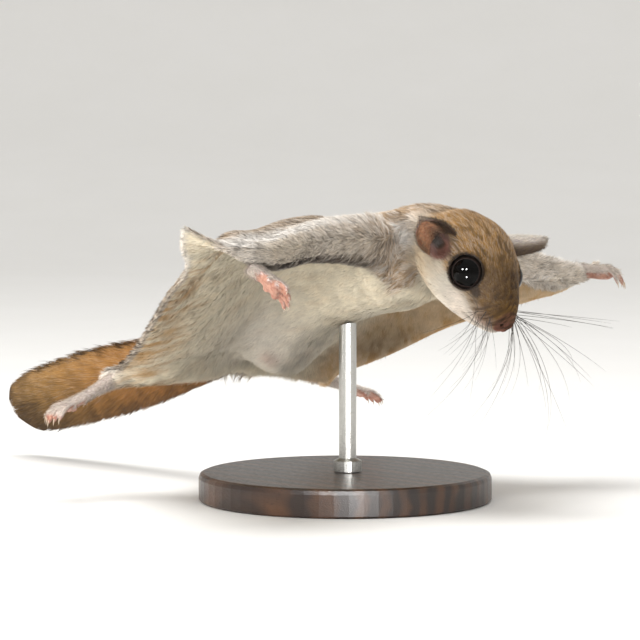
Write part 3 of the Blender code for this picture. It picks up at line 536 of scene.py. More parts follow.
# which way the hair lies, and where each colour of the coat is
def lieOfCoat(body, normal):
    x, y, z = body.T
    sign = np.sign(y)
    outward = np.abs(y)
    head = bodyToHead(body)
    spread = 0.12 + 0.75 * ramp(outward, 8, 50)
    front = np.minimum(nearLine(body, frontEdges["right"]), nearLine(body, frontEdges["left"]))
    spread = spread + 1.1 * np.exp(-(front / 7)**2) * ramp(outward, 14, 30)
    flow = np.stack([-np.ones(len(x)), sign * spread, np.zeros(len(x))], axis=1)
    legs = ramp(x, -30, -40) * ramp(outward, 14, 24)
    flow = flow * (1 - legs[:, None]) + np.stack([-0.55 + 0 * x, sign * 1.0, 0 * x], axis=1) * legs[:, None]
    away = head - np.array([17.0, 0.0, -1.0])
    headFlow = unit(away * (1.0, 0.75, 0.75)) @ headAxes.T
    inHead = ramp(head[:, 0], -22, -8)[:, None] * ramp(x, 36, 50)[:, None]
    flow = unit(flow) * (1 - inHead) + headFlow * inHead
    flow = flow - normal * np.sum(flow * normal, axis=1, keepdims=True)
    return unit(flow)


patches = {
    "behindEar": ((46.4, -11.6, 11.4), 4.8), "ankle": ((-50.0, -41.0, -1.5), 5.5), "bellySpot": ((-16.7, -8.4, -5.9), 2.6),
    "shankSpot": ((-42.8, -40.8, -5.7), 2.0), "shadedUnderPatch": ((-9.7, 31.3, -2.7), 9.0), "wristRight": ((41.5, -68.0, 2.5), 6.0),
    "wristLeft": ((43.0, 67.0, 3.5), 6.0), "ankleLeft": ((-49.0, 43.0, -3.0), 5.0),
}


def inPatch(body, name):
    centre, radius = patches[name]
    return np.exp(-(np.linalg.norm(body - np.array(centre), axis=1) / radius)**2)


def markings(body, normal):
    x, y, z = body.T
    outward = np.abs(y)
    head = bodyToHead(body)
    headNormal = normal @ headAxes
    onHead = ramp(head[:, 0], -19, -11) * ramp(x, 40, 50)
    front = np.minimum(nearLine(body, frontEdges["right"]), nearLine(body, frontEdges["left"]))
    free = np.minimum(nearLine(body, freeEdges["right"]), nearLine(body, freeEdges["left"]))
    wobble = cloud(body, 2.2, 1) - 0.5
    along = (body @ np.array([-0.86, 0.0, 0.1])) + outward * 0.5
    across = body @ np.array([0.5, 0.0, 0.6]) + outward * 0.86
    streak = cloud(np.stack([along * 0.16, across * 0.9, z * 0.5], axis=1), 1.0, 2)
    fine = cloud(np.stack([along * 0.35, across * 2.2, z * 1.2], axis=1), 1.0, 3)
    # the pale underside starts low on the arm's front, and at the edge elsewhere
    arm = ramp(front, 12.5, 9.0) * ramp(outward, 3, 10) * ramp(x, 34.5, 37.5)
    limit = -0.02 - 1.3 * arm
    edge = ramp(free, 3.0, 2.0) * (y < 0) * ramp(x, -47, -40) * ramp(x, 27, 15)
    limit = limit - 1.6 * edge
    under = ramp(normal[:, 2] + 0.10 * wobble, limit + 0.10, limit - 0.12)
    nearTail = ramp(x, -47.5, -52) * ramp(outward, 14, 9)
    belly = under * (1 - onHead)
    band = arm * ramp(normal[:, 2] + 0.2 * wobble, -0.55, -0.85) * ramp(outward, 74, 62)
    dark = band * (0.40 + 0.60 * streak) * np.where(y > 0, 0.35, 1.0)
    back = (1 - under) * (1 - onHead)
    streaky = np.clip(0.04 + 1.3 * (streak - 0.55) + 1.3 * (fine - 0.58), 0, 0.6)
    dark = dark + back * streaky * ramp(outward, 88, 60) * (1 - 0.40 * ramp(x, 18, 34))
    dark = dark + 0.30 * edge * streak
    upward = ramp(normal[:, 2], 0.25, 0.80) * back
    topAway = upward * ramp(front, 7, 20)
    # painted light from above: the upward faces of the back are painted paler, most near the arm's front edge
    white = upward * ramp(outward, 8, 26) * (0.05 + 0.80 * ramp(front, 17, 7)) + 0.34 * back * (fine < 0.42)
    white = white * (1 - 0.6 * topAway) + 0.32 * back * ramp(front, 13, 7) * ramp(outward, 8, 18)
    dark = dark + topAway * (0.16 + 0.26 * streak)
    rim = ramp(free, 3.2, 0.8) * ramp(outward, 60, 76)
    white = np.maximum(white, 0.9 * rim)
    for name, amount in (("behindEar", 1.0), ("ankle", 1.0), ("wristRight", 0.8), ("wristLeft", 0.7), ("ankleLeft", 0.6)):
        white = np.maximum(white, amount * inPatch(body, name))
    # painted highlight: the belly's bulge is painted paler where it catches the light
    bump = np.exp(-(((x + 15) / 15)**2 + ((y + 10) / 16)**2)) * under
    white = np.maximum(white, 0.60 * bump)
    ochre = under * (1 - onHead) * ramp(free, 20, 5) * ramp(free, 0.8, 3.0) * np.clip(1.5 * streak - 0.35, 0, 1)
    ochre = ochre * np.where(y < 0, 0.75, 0.6) * ramp(outward, 80, 62)
    # painted shade: the left underside gets an ochre tint for its olive shadow; the streaked ochre is the fur's own
    ochre = ochre + under * (1 - onHead) * (0.22 * np.clip(streak - 0.45, 0, 1) * 2 + 0.60 * ramp(y, 14, 26))
    pink = 0.6 * inPatch(body, "bellySpot") + 0.0 * x
    # painted shade: a darker streaky patch on the shaded left underside
    dark = dark * (1 - 0.8 * rim) + 0.55 * inPatch(body, "shadedUnderPatch") * under * (0.4 + streak) + 0.5 * inPatch(body, "shankSpot")
    # the neck and shoulders turn warm towards the head
    warm = ramp(x, 22, 44) * ramp(outward, 26, 14) * (1 - under) * (1 - onHead)
    # head: tan crown, yellow cheeks, pale chin, brown muzzle and dark rings round the eyes
    hx, hy, hz = head.T
    level = hz + 1.6 * wobble - np.interp(hx, [-14, -8, 0, 6, 11, 14, 18], [5.6, 4.8, 3.0, 0.9, -0.8, -2.4, -3.6])
    lower = ramp(level, 1.2, -1.2)
    chin = ramp(level, -0.6, -3.2)
    cheek = onHead * lower
    crown = np.maximum(onHead * (1 - lower), 0.50 * warm)
    muzzle = onHead * ramp(hx, 12.5, 16.0) * ramp(hz, -6.6, -5.4)
    nose = onHead * ramp(hx, 18.7, 19.4) * ramp(hz, -6.2, -5.6)
    belly = np.maximum(belly, onHead * np.maximum(chin, 0.55 * cheek))
    white = np.maximum(white * (1 - onHead), onHead * 0.60 * chin * ramp(hx, -6, 6))
    white = np.maximum(white, 1.0 * inPatch(body, "behindEar")) + 0.38 * warm * (fine < 0.5)
    ochre = np.maximum(ochre, onHead * cheek * (0.90 * (1 - chin) + 0.50 * ramp(hx, 8, -4)) * (0.35 + 0.9 * fine))
    ochre = np.maximum(ochre, 0.75 * warm * (0.4 + 0.8 * streak))
    ochre = np.maximum(ochre, 0.45 * topAway * (0.5 + 0.7 * fine))
    ochre = np.maximum(ochre, 0.55 * back * ramp(x, 16, 36) * ramp(outward, 46, 18) * np.clip(1.6 * streak - 0.3, 0, 1))
    pink = np.maximum(pink, 0.35 * muzzle * ramp(hz, -1.0, -3.5) + 0.75 * nose + 0.16 * chin * onHead * ramp(hx, 2, 9))
    for side in sides:
        place, axes = eyeAxes(side)
        local = (head - place) @ axes.T
        ring = np.linalg.norm(local[:, 1:] * (1.0, 1.0), axis=1)
        front2 = local[:, 0] > -2
        dark = np.maximum(dark, onHead * front2 * (0.95 * ramp(ring, 5.5, 4.8) + 0.10 * ramp(ring, 8.0, 5.0)))
        corner = np.array([12.0, 7.9 * np.sign(place[1]), 0.2])
        tear = nearLine(head, [place + (corner - place) * 0.5, corner])
        dark = np.maximum(dark, onHead * 0.95 * ramp(tear, 2.6, 0.9))
        flip = (1, np.sign(place[1]), 1)
        hollow = np.linalg.norm(head - np.array(face["earHole"]) * flip, axis=1)
        fold = (head - np.array(face["earHole"]) * flip) @ np.array([0.62, 0.0, 0.78])
        dark = np.maximum(dark, 0.60 * onHead * ramp(hollow, 4.2, 3.2) * ramp(fold, 0.2, 1.6))
        # painted shadow in the ear's opening: the hollow is darkened at its centre, with pink flesh round it
        dark = dark * (1 - ramp(hollow, 3.0, 2.2)) + (0.34 + 0.30 * wobble) * ramp(hollow, 3.4, 2.2)
        pink = np.maximum(pink, 1.0 * ramp(hollow, 4.0, 3.0))
        white, ochre = white * ramp(hollow, 3.2, 4.4), ochre * ramp(hollow, 3.0, 4.0)
        # painted shadow in the ear hole
        dark = np.maximum(dark, ramp(np.linalg.norm(head - np.array(face["earHoleShadow"]) * flip, axis=1), 2.7, 1.3))
        # painted shadow inside the nostrils
        nostril = np.linalg.norm((head - np.array(face["nostril"]) * (1, np.sign(place[1]), 1)) * (0.6, 1, 1.2), axis=1)
        dark = np.maximum(dark, onHead * ramp(nostril, 0.9, 0.45))
        rows = 0.5 + 0.5 * np.sin(hz * 4.2 + hx * 0.9 + 2.0 * wobble)
        dark = np.maximum(dark, 0.55 * onHead * ramp(rows, 0.55, 0.85) * ramp(hx, 11, 13) * ramp(hx, 18, 16) * ramp(hz, -6.4, -5.0)
                          * ramp(hz, -0.5, -2.0))
    tick = (cloud(head * (0.45, 1.5, 1.5), 0.75, 5) > 0.58) * onHead * (1 - lower)
    dark = np.maximum(dark, 0.70 * tick * ramp(hx, -14, -6) * (0.65 + 0.35 * ramp(hx, -4, 6)))
    dark = np.maximum(dark, (0.42 + 0.60 * fine) * onHead * (1 - chin) * ramp(hx, 4, 13))
    lips = np.abs(hz - np.interp(np.abs(hy), [0, 3, 6.6], [-6.4, -6.8, -7.6]))
    dark = np.maximum(dark, onHead * 0.6 * np.exp(-(lips / 0.55)**2) * ramp(hx, 10, 12))
    bridge = onHead * np.exp(-(hy / 1.6)**2) * ramp(hx, 12, 17) * ramp(hz, -3.4, -1.5)
    dark = np.maximum(dark, 0.45 * bridge)
    tailPart = nearTail
    zones = np.stack([belly * (1 - tailPart), crown, tailPart], axis=1)
    marks = np.stack([dark, ochre, white], axis=1)
    return np.clip(zones, 0, 1), np.clip(marks, 0, 1), np.clip(pink, 0, 1)


palette = {
    "back": tone("#d8c8b4"), "belly": tone("#f0e6cf"), "crown": tone("#ae8242"), "tail": tone("#a56f36"),
    "dark": tone("#3c2a19"), "ochre": tone("#c79a5c"), "white": tone("#f6f0e8"), "pink": tone("#a86f5f"),
    "tailOlive": tone("#85683c"),
}


# one finish for skin and hair, from the same markings
def coatFinish(name, hair):
    fixed = {"Roughness": 0.78, "Specular IOR Level": 0.22 if hair else 0.06, "Sheen Weight": 0.12 if hair else 0.04, "Sheen Roughness": 0.5}
    made = Finish(name, fixed)
    belly, crown, tailPart = made.attribute("zones")
    dark, ochre, white = made.attribute("marks")
    pink, luck, along = made.attribute("hair")
    shade = made.mix(belly, palette["back"], palette["belly"])
    shade = made.mix(crown, shade, palette["crown"])
    tailShade = made.mix(made.range(pink, 0.0, 0.5), palette["tail"], palette["tailOlive"])
    shade = made.mix(tailPart, shade, tailShade)
    shade = made.mix(ochre, shade, palette["ochre"])
    shade = made.mix(white, shade, palette["white"])
    shade = made.mix(made.clip(pink * (1 - tailPart)), shade, palette["pink"])
    shade = made.mix(dark, shade, palette["dark"])
    patchy = made.noise(260.0, 2.0)
    shift = made.range(patchy, 0.3, 0.7, 0.90, 1.08)
    if hair:
        level = (0.72 + 0.13 * belly + (0.50 - 0.26 * belly) * luck) * (0.70 + 0.38 * along) * shift
        rough = made.range(luck, 0.0, 1.0, 0.62, 0.85)
    else:
        grain = made.noise(2600.0, 2.0)
        level = (0.62 + 0.16 * grain) * shift
        rough = made.range(grain, 0.3, 0.7, 0.7, 0.9)
        made.feed(normal=made.bump(grain, 0.00015, 0.5))
    level3 = made.node("CombineXYZ", {}, {0: level, 1: level, 2: level})
    made.feed(colour=made.mix(1.0, shade, level3, "MULTIPLY"), roughness=rough)
    return made


print("surface of the skin")
skinPoints, skinFaces = buildSkinSurface()
skinPoints = relax(skinPoints, skinFaces, skin["relaxing"])
skinNormals = vertexNormals(skinPoints, skinFaces)
skinBody = toBody(skinPoints * mm)
thickness = thicknessAt(skinPoints, skinNormals, skinFaces)
drawnIn = np.minimum(skin["swell"] + coatDepth(skinBody), skin["mostOfThickness"] * thickness)
skinPoints = skinPoints - skinNormals * drawnIn[:, None]
skinPoints = relax(skinPoints, skinFaces, 2, 0.5, 0)
skinPoints = carveFace(skinPoints, vertexNormals(skinPoints, skinFaces))
skinNormals = vertexNormals(skinPoints, skinFaces)
skinBody = toBody(skinPoints * mm)
hairRoom = np.maximum(drawnIn - skin["swell"], 0.05)
print(f"skin has {len(skinFaces)} triangles")

skinFinish = coatFinish("skinFinish", False)
hairFinish = coatFinish("hairFinish", True)
skinPiece = shapeMesh("skin", skinPoints * mm, skinFaces, skinFinish)
bodyNormals = skinNormals @ bodyAxes
zones, marks, pink = markings(skinBody, bodyNormals)
pink = pink * (1 - zones[:, 2])
setVectors(skinPiece.data, "zones", zones)
setVectors(skinPiece.data, "marks", marks)
setVectors(skinPiece.data, "hair", np.stack([pink, pink * 0 + 0.5, pink * 0 + 0.3], axis=1))
settle(skinPiece, "coat_back", *skin["nodes"], "tail")


# tufts: thin tapered blades rooted in the skin
def scatter(points, faces, weight, count, chance):
    a, b, c = (points[faces[:, i]] for i in range(3))
    area = np.linalg.norm(np.cross(b - a, c - a), axis=1) / 2
    share = area * weight[faces].mean(1)
    picked = chance.choice(len(faces), count, p=share / share.sum())
    u, v = chance.random(count), chance.random(count)
    fold = u + v > 1
    u[fold], v[fold] = 1 - u[fold], 1 - v[fold]
    return picked, np.stack([1 - u - v, u, v], axis=1)


def spreadOver(values, faces, picked, parts):
    corner = values[faces[picked]]
    return np.einsum("nk,nk...->n...", parts, corner)


def makeTufts(name, paths, across, facing, widths, zones, marks, hair, patchAt, finish):
    count, steps = paths.shape[0], paths.shape[1]
    shares = np.linspace(0, 1, steps)
    taper = np.clip(1.0 - shares**1.6, 0, 1)[:, None] * np.array([0.75 if i == 0 else 1.0 for i in range(steps)])[:, None]
    half = widths[:, None, None] / 2 * taper[None]
    left, right = paths - across * half, paths + across * half
    points = np.empty((count, steps * 2 - 1, 3))
    points[:, 0:steps * 2 - 2:2] = left[:, :-1]
    points[:, 1:steps * 2 - 2:2] = right[:, :-1]
    points[:, -1] = paths[:, -1]
    one = []
    for i in range(steps - 2):
        a = 2 * i
        one += [(a, a + 3, a + 1), (a, a + 2, a + 3)]
    a = 2 * (steps - 2)
    one.append((a, a + 2, a + 1))
    perTuft = steps * 2 - 1
    faces = (np.array(one)[None] + (np.arange(count) * perTuft)[:, None, None]).reshape(-1, 3)
    piece = shapeMesh(name, points.reshape(-1, 3) * mm, faces, finish)
    mesh = piece.data
    spread = [np.repeat(values, perTuft, axis=0) for values in (zones, marks)]
    up = np.concatenate([np.repeat(shares[:-1], 2), [1.0]])
    pinkness, luck = hair
    setVectors(mesh, "zones", spread[0])
    setVectors(mesh, "marks", spread[1])
    setVectors(mesh, "hair", np.stack([np.repeat(pinkness, perTuft), np.repeat(luck, perTuft), np.tile(up, count)], axis=1))
    normals = np.repeat(unit(facing), perTuft, axis=0)
    mesh.normals_split_custom_set_from_vertices(normals.astype(np.float32))
    side = np.concatenate([np.tile([0.0, 1.0], steps - 1), [0.5]])
    spot = np.stack([np.tile(side, count), np.tile(up, count)], axis=1) * 0.003
    spot = (np.repeat(patchAt, perTuft, axis=0) + spot)[faces.ravel()]
    mesh.uv_layers.new(name="OFBake").uv.foreach_set("vector", spot.astype(np.float32).ravel())
    return piece


coat = {
    "bodyTufts": 330000, "headTufts": 60000, "seed": 21,
    "length": {"back": 4.3, "under": 3.4, "edge": 2.4, "leg": 3.0}, "width": 0.25, "headWidth": 0.17,
    "swirl": 0.30, "stray": 0.16,
}


def bladePaths(roots, normals, flows, lengths, lifts, steps, chance, bend=0.15):
    t = np.linspace(0, 1, steps)[None, :, None]
    across = unit(np.cross(normals, flows))
    sway = chance.normal(0, bend, (len(roots), 1, 1))
    rise = -0.12 + (lifts[:, None, None] + 0.12) * (1 - (1 - t)**1.7)
    paths = (roots[:, None] + flows[:, None] * lengths[:, None, None] * t
             + across[:, None] * lengths[:, None, None] * sway * t**2 + normals[:, None] * rise)
    roll = chance.normal(0, 0.45, (len(roots), 1, 1))
    return paths, across[:, None] * np.cos(roll) + normals[:, None] * np.sin(roll)


def growCoat(name, weight, count, slotName, onHead, chance):
    picked, parts = scatter(skinPoints, skinFaces, weight, count, chance)
    roots = spreadOver(skinPoints, skinFaces, picked, parts)
    normals = unit(spreadOver(skinNormals, skinFaces, picked, parts))
    room = spreadOver(hairRoom, skinFaces, picked, parts)
    body, bodyNormal = toBody(roots * mm), normals @ bodyAxes
    flow = lieOfCoat(body, bodyNormal)
    swirl = (cloud(body, 3.0, 8) - 0.5) * 2 * coat["swirl"] + chance.normal(0, coat["stray"], count)
    flow = flow * np.cos(swirl)[:, None] + np.cross(bodyNormal, flow) * np.sin(swirl)[:, None]
    head = bodyToHead(body)
    outward = np.abs(body[:, 1])
    free = np.minimum(nearLine(body, freeEdges["right"]), nearLine(body, freeEdges["left"]))
    if onHead:
        lengths = curveAt([(-24, 3.6), (-10, 2.9), (0, 2.3), (8, 1.7), (14, 1.1), (18, 0.7), (21, 0.5)], head[:, 0])[:, 0]
        widths = np.full(count, coat["headWidth"]) * (0.6 + 0.25 * lengths / 2)
        for side in sides:
            place, axes = eyeAxes(side)
            local = (head - place) @ axes.T
            near = np.linalg.norm(local[:, 1:], axis=1)
            lengths = np.where(local[:, 0] > -2, lengths * (0.35 + 0.65 * ramp(near, 5.0, 8.0)), lengths)
    else:
        kinds = coat["length"]
        under = ramp(bodyNormal[:, 2], 0.1, -0.1)
        lengths = kinds["back"] * (1 - under) + kinds["under"] * under
        lengths = lengths * (1 - 0.40 * ramp(outward, 18, 60)) * (0.62 + 0.38 * ramp(free, 0.5, 5.0))
        widths = np.full(count, coat["width"])
    lengths = lengths * chance.uniform(0.7, 1.2, count)
    widths = widths * chance.uniform(0.7, 1.3, count)
    lifts = room * chance.uniform(0.55, 1.05, count)
    paths, across = bladePaths(roots, normals, flow @ bodyAxes.T, lengths, lifts, 3, chance)
    zones, marks, pinkness = markings(body, bodyNormal)
    luck = np.clip(0.50 * chance.random(count) + 0.50 * cloud(body, 1.1, 9), 0, 1)
    draw = chance.random(count)
    plain = (1 - zones[:, 0]) * (1 - marks[:, 2])
    marks[:, 0] = np.maximum(marks[:, 0], 0.55 * (draw < 0.14 * plain))
    pale = draw > 1 - 0.24 * plain
    marks[:, 2] = np.maximum(marks[:, 2], 0.45 * pale * (1 - zones[:, 1]))
    marks[:, 2] = np.maximum(marks[:, 2], 0.34 * (draw > 0.66) * zones[:, 1] * (1 - marks[:, 0]))
    facing = normals + (0.28 - 0.14 * zones[:, :1]) * chance.normal(0, 0.5, normals.shape)
    spots = np.stack([body[:, 0], body[:, 1]], axis=1) if not onHead else np.stack([
        head[:, 0], np.arctan2(head[:, 1], head[:, 2]) * 9], axis=1)
    low, high = spots.min(0), spots.max(0)
    patchAt = 0.002 + 0.993 * (spots - low) / (high - low)
    piece = makeTufts(name, paths, across, facing, widths, zones, marks, (pinkness, luck), patchAt, hairFinish)
    return settle(piece, slotName)


headReach = bodyToHead(skinBody)[:, 0]
noHair = np.ones(len(skinPoints))
for side in sides:
    place, axes = eyeAxes(side)
    local = (bodyToHead(skinBody) - place) @ axes.T
    noHair *= 1 - (np.linalg.norm(local[:, 1:], axis=1) < 4.7) * (local[:, 0] > -3)
    hole = np.array(face["earHole"]) * (1, np.sign(place[1]), 1)
    noHair *= np.linalg.norm(bodyToHead(skinBody) - hole, axis=1) > 2.1
onHeadSkin = (headReach > -14) & (skinBody[:, 0] > 44)
onTail = (skinBody[:, 0] < -50) & (np.abs(skinBody[:, 1]) < 12)
bald = ramp(headReach, 18.6, 17.6)
sectors = {
    "coat_back_middle": (bodyNormals[:, 2] >= 0) & (np.abs(skinBody[:, 1]) < 20),
    "coat_belly_middle": (bodyNormals[:, 2] < 0) & (np.abs(skinBody[:, 1]) < 20),
    "coat_back_right": (bodyNormals[:, 2] >= 0) & (skinBody[:, 1] <= -20),
    "coat_back_left": (bodyNormals[:, 2] >= 0) & (skinBody[:, 1] >= 20),
    "coat_belly_right": (bodyNormals[:, 2] < 0) & (skinBody[:, 1] <= -20),
    "coat_belly_left": (bodyNormals[:, 2] < 0) & (skinBody[:, 1] >= 20),
}
chance = np.random.default_rng(coat["seed"])
corner = [skinPoints[skinFaces[:, i]] for i in range(3)]
faceArea = np.linalg.norm(np.cross(corner[1] - corner[0], corner[2] - corner[0]), axis=1) / 2
bodyArea = (faceArea * (~onHeadSkin & ~onTail)[skinFaces].mean(1)).sum()
for name, where in sectors.items():
    weight = (where & ~onHeadSkin & ~onTail).astype(float)
    share = (faceArea * weight[skinFaces].mean(1)).sum() / bodyArea
    count = min(int(coat["bodyTufts"] * share), 66500)
    growCoat(name, weight, count, "coat_belly" if "belly" in name else "coat_back", False, chance)
    print(f"{name}: {count} tufts")
growCoat("coat_head", onHeadSkin * noHair * bald, coat["headTufts"], "coat_head", True, chance)
print("coat of the head")


def growTail(chance):
    count = tail["hairs"]
    share = chance.random(count)**0.85 * 0.93 + 0.01
    spread = chance.uniform(-1, 1, count)
    face = np.where(chance.random(count) < 0.5, -1.0, 1.0)
    short, long = tail["hairLength"]
    reach = chance.uniform(short, long, count) * ramp(share, -0.25, 0.30)
    start = spread * 0.55
    lean = np.radians(62 - 34 * ramp(share, 0.1, 0.95)) * np.clip(np.abs(spread) * 1.5 + 0.15, 0, 1) * np.sign(spread)
    lean = lean + chance.normal(0, 0.12, count) + 0.25 * (cloud(np.stack([share * 40, spread * 4, face], axis=1), 1.0, 31) - 0.5)
    steps = 4
    shag = chance.random(count) * cloud(np.stack([share * 50, spread * 2, face], axis=1), 1.0, 35)
    rows = []
    for t in np.linspace(0, 1, steps):
        bent = lean * (1 - 0.30 * t)
        place = np.clip(share + reach * t * np.cos(bent) / tail["length"], 0, 1.0)
        width, height = curveAt(tail["outline"], place).T
        aside = start * curveAt(tail["outline"], share)[:, 0] * 0.8 + reach * t * np.sin(bent)
        edge = width * (0.93 + 0.12 * shag)
        aside = edge * np.tanh(aside / edge * 1.15) / math.tanh(1.15) * 0.98
        aside = np.clip(aside, -edge, edge)
        room = height * np.sqrt(np.clip(1 - (aside / width)**2, 0.02, 1))
        depth = (0.42 + 0.56 * t**0.8) * chance.uniform(0.92, 1.0, count)
        centre, along, wide, flat = tailFrame(place)
        rows.append(centre + wide * aside[:, None] + flat * (face * room * depth)[:, None])
    paths = np.stack(rows, axis=1)
    _, along, wide, flat = tailFrame(share)
    up = flat * face[:, None] + wide * (0.35 * np.sign(spread) * np.abs(spread)**2)[:, None]
    way = unit(paths[:, -1] - paths[:, 0])
    across = unit(np.cross(up, way))
    roll = chance.normal(0, 0.5, (count, 1))
    across = across * np.cos(roll) + unit(up) * np.sin(roll)
    widths = tail["hairWidth"] * chance.uniform(0.6, 1.35, count)
    ends = np.abs(spread)
    zones = np.stack([0 * share, 0 * share, 1 + 0 * share], axis=1)
    fringeAndLowerShade = ramp(share, 0.68, 0.96) * 0.80 + ramp(ends, 0.80, 1.0) * np.where(spread < 0, 0.85, 0.40)
    # painted shade: the tail's lower half is darkened
    fringeAndLowerShade = fringeAndLowerShade + 0.66 * ramp(spread, -0.35, 0.6)
    streaks = cloud(np.stack([share * 60, spread * 3, face * 2], axis=1), 1.0, 33)
    dark = np.clip(fringeAndLowerShade * chance.uniform(0.5, 1.2, count) + 0.75 * (streaks - 0.45), 0, 0.9)
    olive = ramp(share, 0.25, 0.9) * 0.42 + 0.10 * streaks
    white = 0.14 * (chance.random(count) < 0.22 * ramp(spread, 0.4, -0.6))
    marks = np.stack([dark, 0.45 * ramp(spread, 0.3, -0.7) * (1 - streaks), white], axis=1)
    luck = np.clip(0.5 * chance.random(count) + 0.5 * streaks, 0, 1)
    paths = toWorld(paths) / mm
    across = (across @ bodyAxes.T)[:, None]
    facing = up @ bodyAxes.T + 0.3 * chance.normal(0, 0.5, up.shape)
    patchAt = np.stack([share, (spread * 0.24 + np.where(face > 0, 0.26, 0.74))], axis=1) * 0.993 + 0.002
    piece = makeTufts("coat_tail", paths, across, facing, widths, zones, marks, (olive, luck), patchAt, hairFinish)
    return settle(piece, "coat_tail")


growTail(np.random.default_rng(77))
print("tail")


# eyes: wet black balls in dark lids
def ball(place, axes, radius, rows, count):
    rings = [oval(place + axes[0] * radius * math.sin(a), axes[1], axes[2], radius * math.cos(a), radius * math.cos(a), count)
             for a in np.linspace(-math.pi / 2, math.pi / 2, rows + 1)[1:-1]]
    points, faces = tube(rings)
    points[-2], points[-1] = place - axes[0] * radius, place + axes[0] * radius
    return points, faces


def eyeFinish():
    made = Finish("eyeFinish", {"Roughness": 0.02, "Specular IOR Level": 0.12})
    depth = made.noise(500.0, 2.0)
    made.feed(colour=made.mix(depth, tone("#030303"), tone("#080605")))
    return made


def lidFinish():
    made = Finish("lidFinish", {"Specular IOR Level": 0.06})
    grain = made.noise(1800.0, 4.0)
    along, rim, _ = made.attribute("place")
    shade = made.mix(made.range(grain, 0.35, 0.65), tone("#120d0b"), tone("#2a1e19"))
    shade = made.mix(rim, shade, tone("#2b1d1a"))
    made.feed(colour=shade, roughness=made.range(grain, 0.3, 0.7, 0.5, 0.7), normal=made.bump(grain, 0.0001, 0.6))
    return made


eyeShine, lidSkin = eyeFinish(), lidFinish()
lids = {"profile": [(-0.08, -0.25), (0.0, 0.06), (0.10, 0.18), (0.26, 0.20), (0.55, 0.08), (1.0, -0.45), (1.5, -1.3)],
        "canthus": 1.5, "canthusAngle": -62.0, "canthusWidth": 0.33, "turns": 96}


def buildLid(side):
    sign = 1 if side == "left" else -1
    place, axes = eyeAxes(side)
    towards = np.array([11.6, 8.0 * sign, -0.2]) - place
    aim = math.atan2(towards @ axes[2], towards @ axes[1])
    rings, rimRows = [], []
    for turn in np.linspace(0, 2 * math.pi, lids["turns"], endpoint=False):
        apart = (turn - aim + math.pi) % (2 * math.pi) - math.pi
        tear = math.exp(-(apart / lids["canthusWidth"])**2)
        opening = eyes["opening"] + 0.35 * tear
        out = axes[1] * math.cos(turn) + axes[2] * math.sin(turn)
        row = []
        for aside, lift in lids["profile"]:
            d = opening + aside + lids["canthus"] * tear * max(aside, 0) / 1.5
            a = math.sqrt(max(eyes["radius"]**2 - min(d, 4.4)**2, 0.2)) - max(d - 4.4, 0) * 0.9
            row.append(place + axes[0] * (a + lift) + out * d)
        rings.append(row)
    rings = np.array(rings)
    turns, rows = rings.shape[:2]
    faces = []
    for i in range(turns):
        for k in range(rows - 1):
            a, b = i * rows + k, ((i + 1) % turns) * rows + k
            quad = [a, b, b + 1, a + 1]
            faces += [(quad[0], quad[1], quad[2]), (quad[0], quad[2], quad[3])]
    faces = np.array(faces)
    if sign < 0:
        faces = faces[:, ::-1]
    piece = shapeMesh("lid_" + side, toWorld(headToBody(rings.reshape(-1, 3))), faces, lidSkin)
    rim = np.tile([0.05, 0.45, 0.25, 0.0, 0.0, 0.0, 0.0], turns)
    setVectors(piece.data, "place", np.stack([rim * 0, rim, rim * 0], axis=1))
    return settle(piece, "coat_head")


for side in sides:
    place, axes = eyeAxes(side)
    points, faces = ball(place, axes, eyes["radius"], 32, 64)
    settle(shapeMesh("eyeball_" + side, toWorld(headToBody(points)), faces, eyeShine), "eye", "eye_" + side)
    buildLid(side)
print("eyes")


# ears: cupped leaves with a rolled rim, a painted shadow deep in the hollow and fine veins
ears = {
    "right": {"root": (-4.0, -11.0, 3.5), "along": (-0.20, -0.87, 0.45), "open": (0.86, -0.30, -0.10), "halfWidth": 5.1, "length": 14.5},
    "left": {"root": (-3.4, 10.6, 5.3), "along": (0.15, 0.88, 0.42), "open": (0.40, 0.30, -0.90), "halfWidth": 6.0, "length": 15.8},
    "cup": 4.0, "half": 0.26, "sunk": 1.5, "rows": 40, "columns": 36,
    "darkEdge": {"right": -1, "left": 1}, "darkFrom": {"right": (0.25, 0.70), "left": (0.35, 0.90)}, "hairs": 5200,
}


def earFinish():
    made = Finish("earFinish", {"Subsurface Weight": 0.0, "Specular IOR Level": 0.35})
    inside, rim, depth = made.attribute("place")
    grain = made.noise(900.0, 4.0)
    veins = made.node("TexVoronoi", {"feature": "DISTANCE_TO_EDGE"}, {"Vector": made.place(), "Scale": 330.0})
    flesh = made.mix(made.range(grain, 0.35, 0.65), tone("#d09a74"), tone("#a2694b"))
    flesh = made.mix(made.range(veins, 0.0, 0.06, 0.22, 0.0), flesh, tone("#6f3626"))
    # painted shadow deep in the ear's cup
    flesh = made.mix(made.clip(depth), flesh, tone("#1d0d09"))
    outside = made.mix(made.range(grain, 0.35, 0.65), tone("#b3a5aa"), tone("#877779"))
    shade = made.mix(inside, outside, flesh)
    shade = made.mix(rim, shade, tone("#3f291e"))
    made.feed(colour=shade, roughness=made.range(grain, 0.3, 0.7, 0.42, 0.6), normal=made.bump(grain, 0.00018, 0.7))
    return made


earSkin = earFinish()


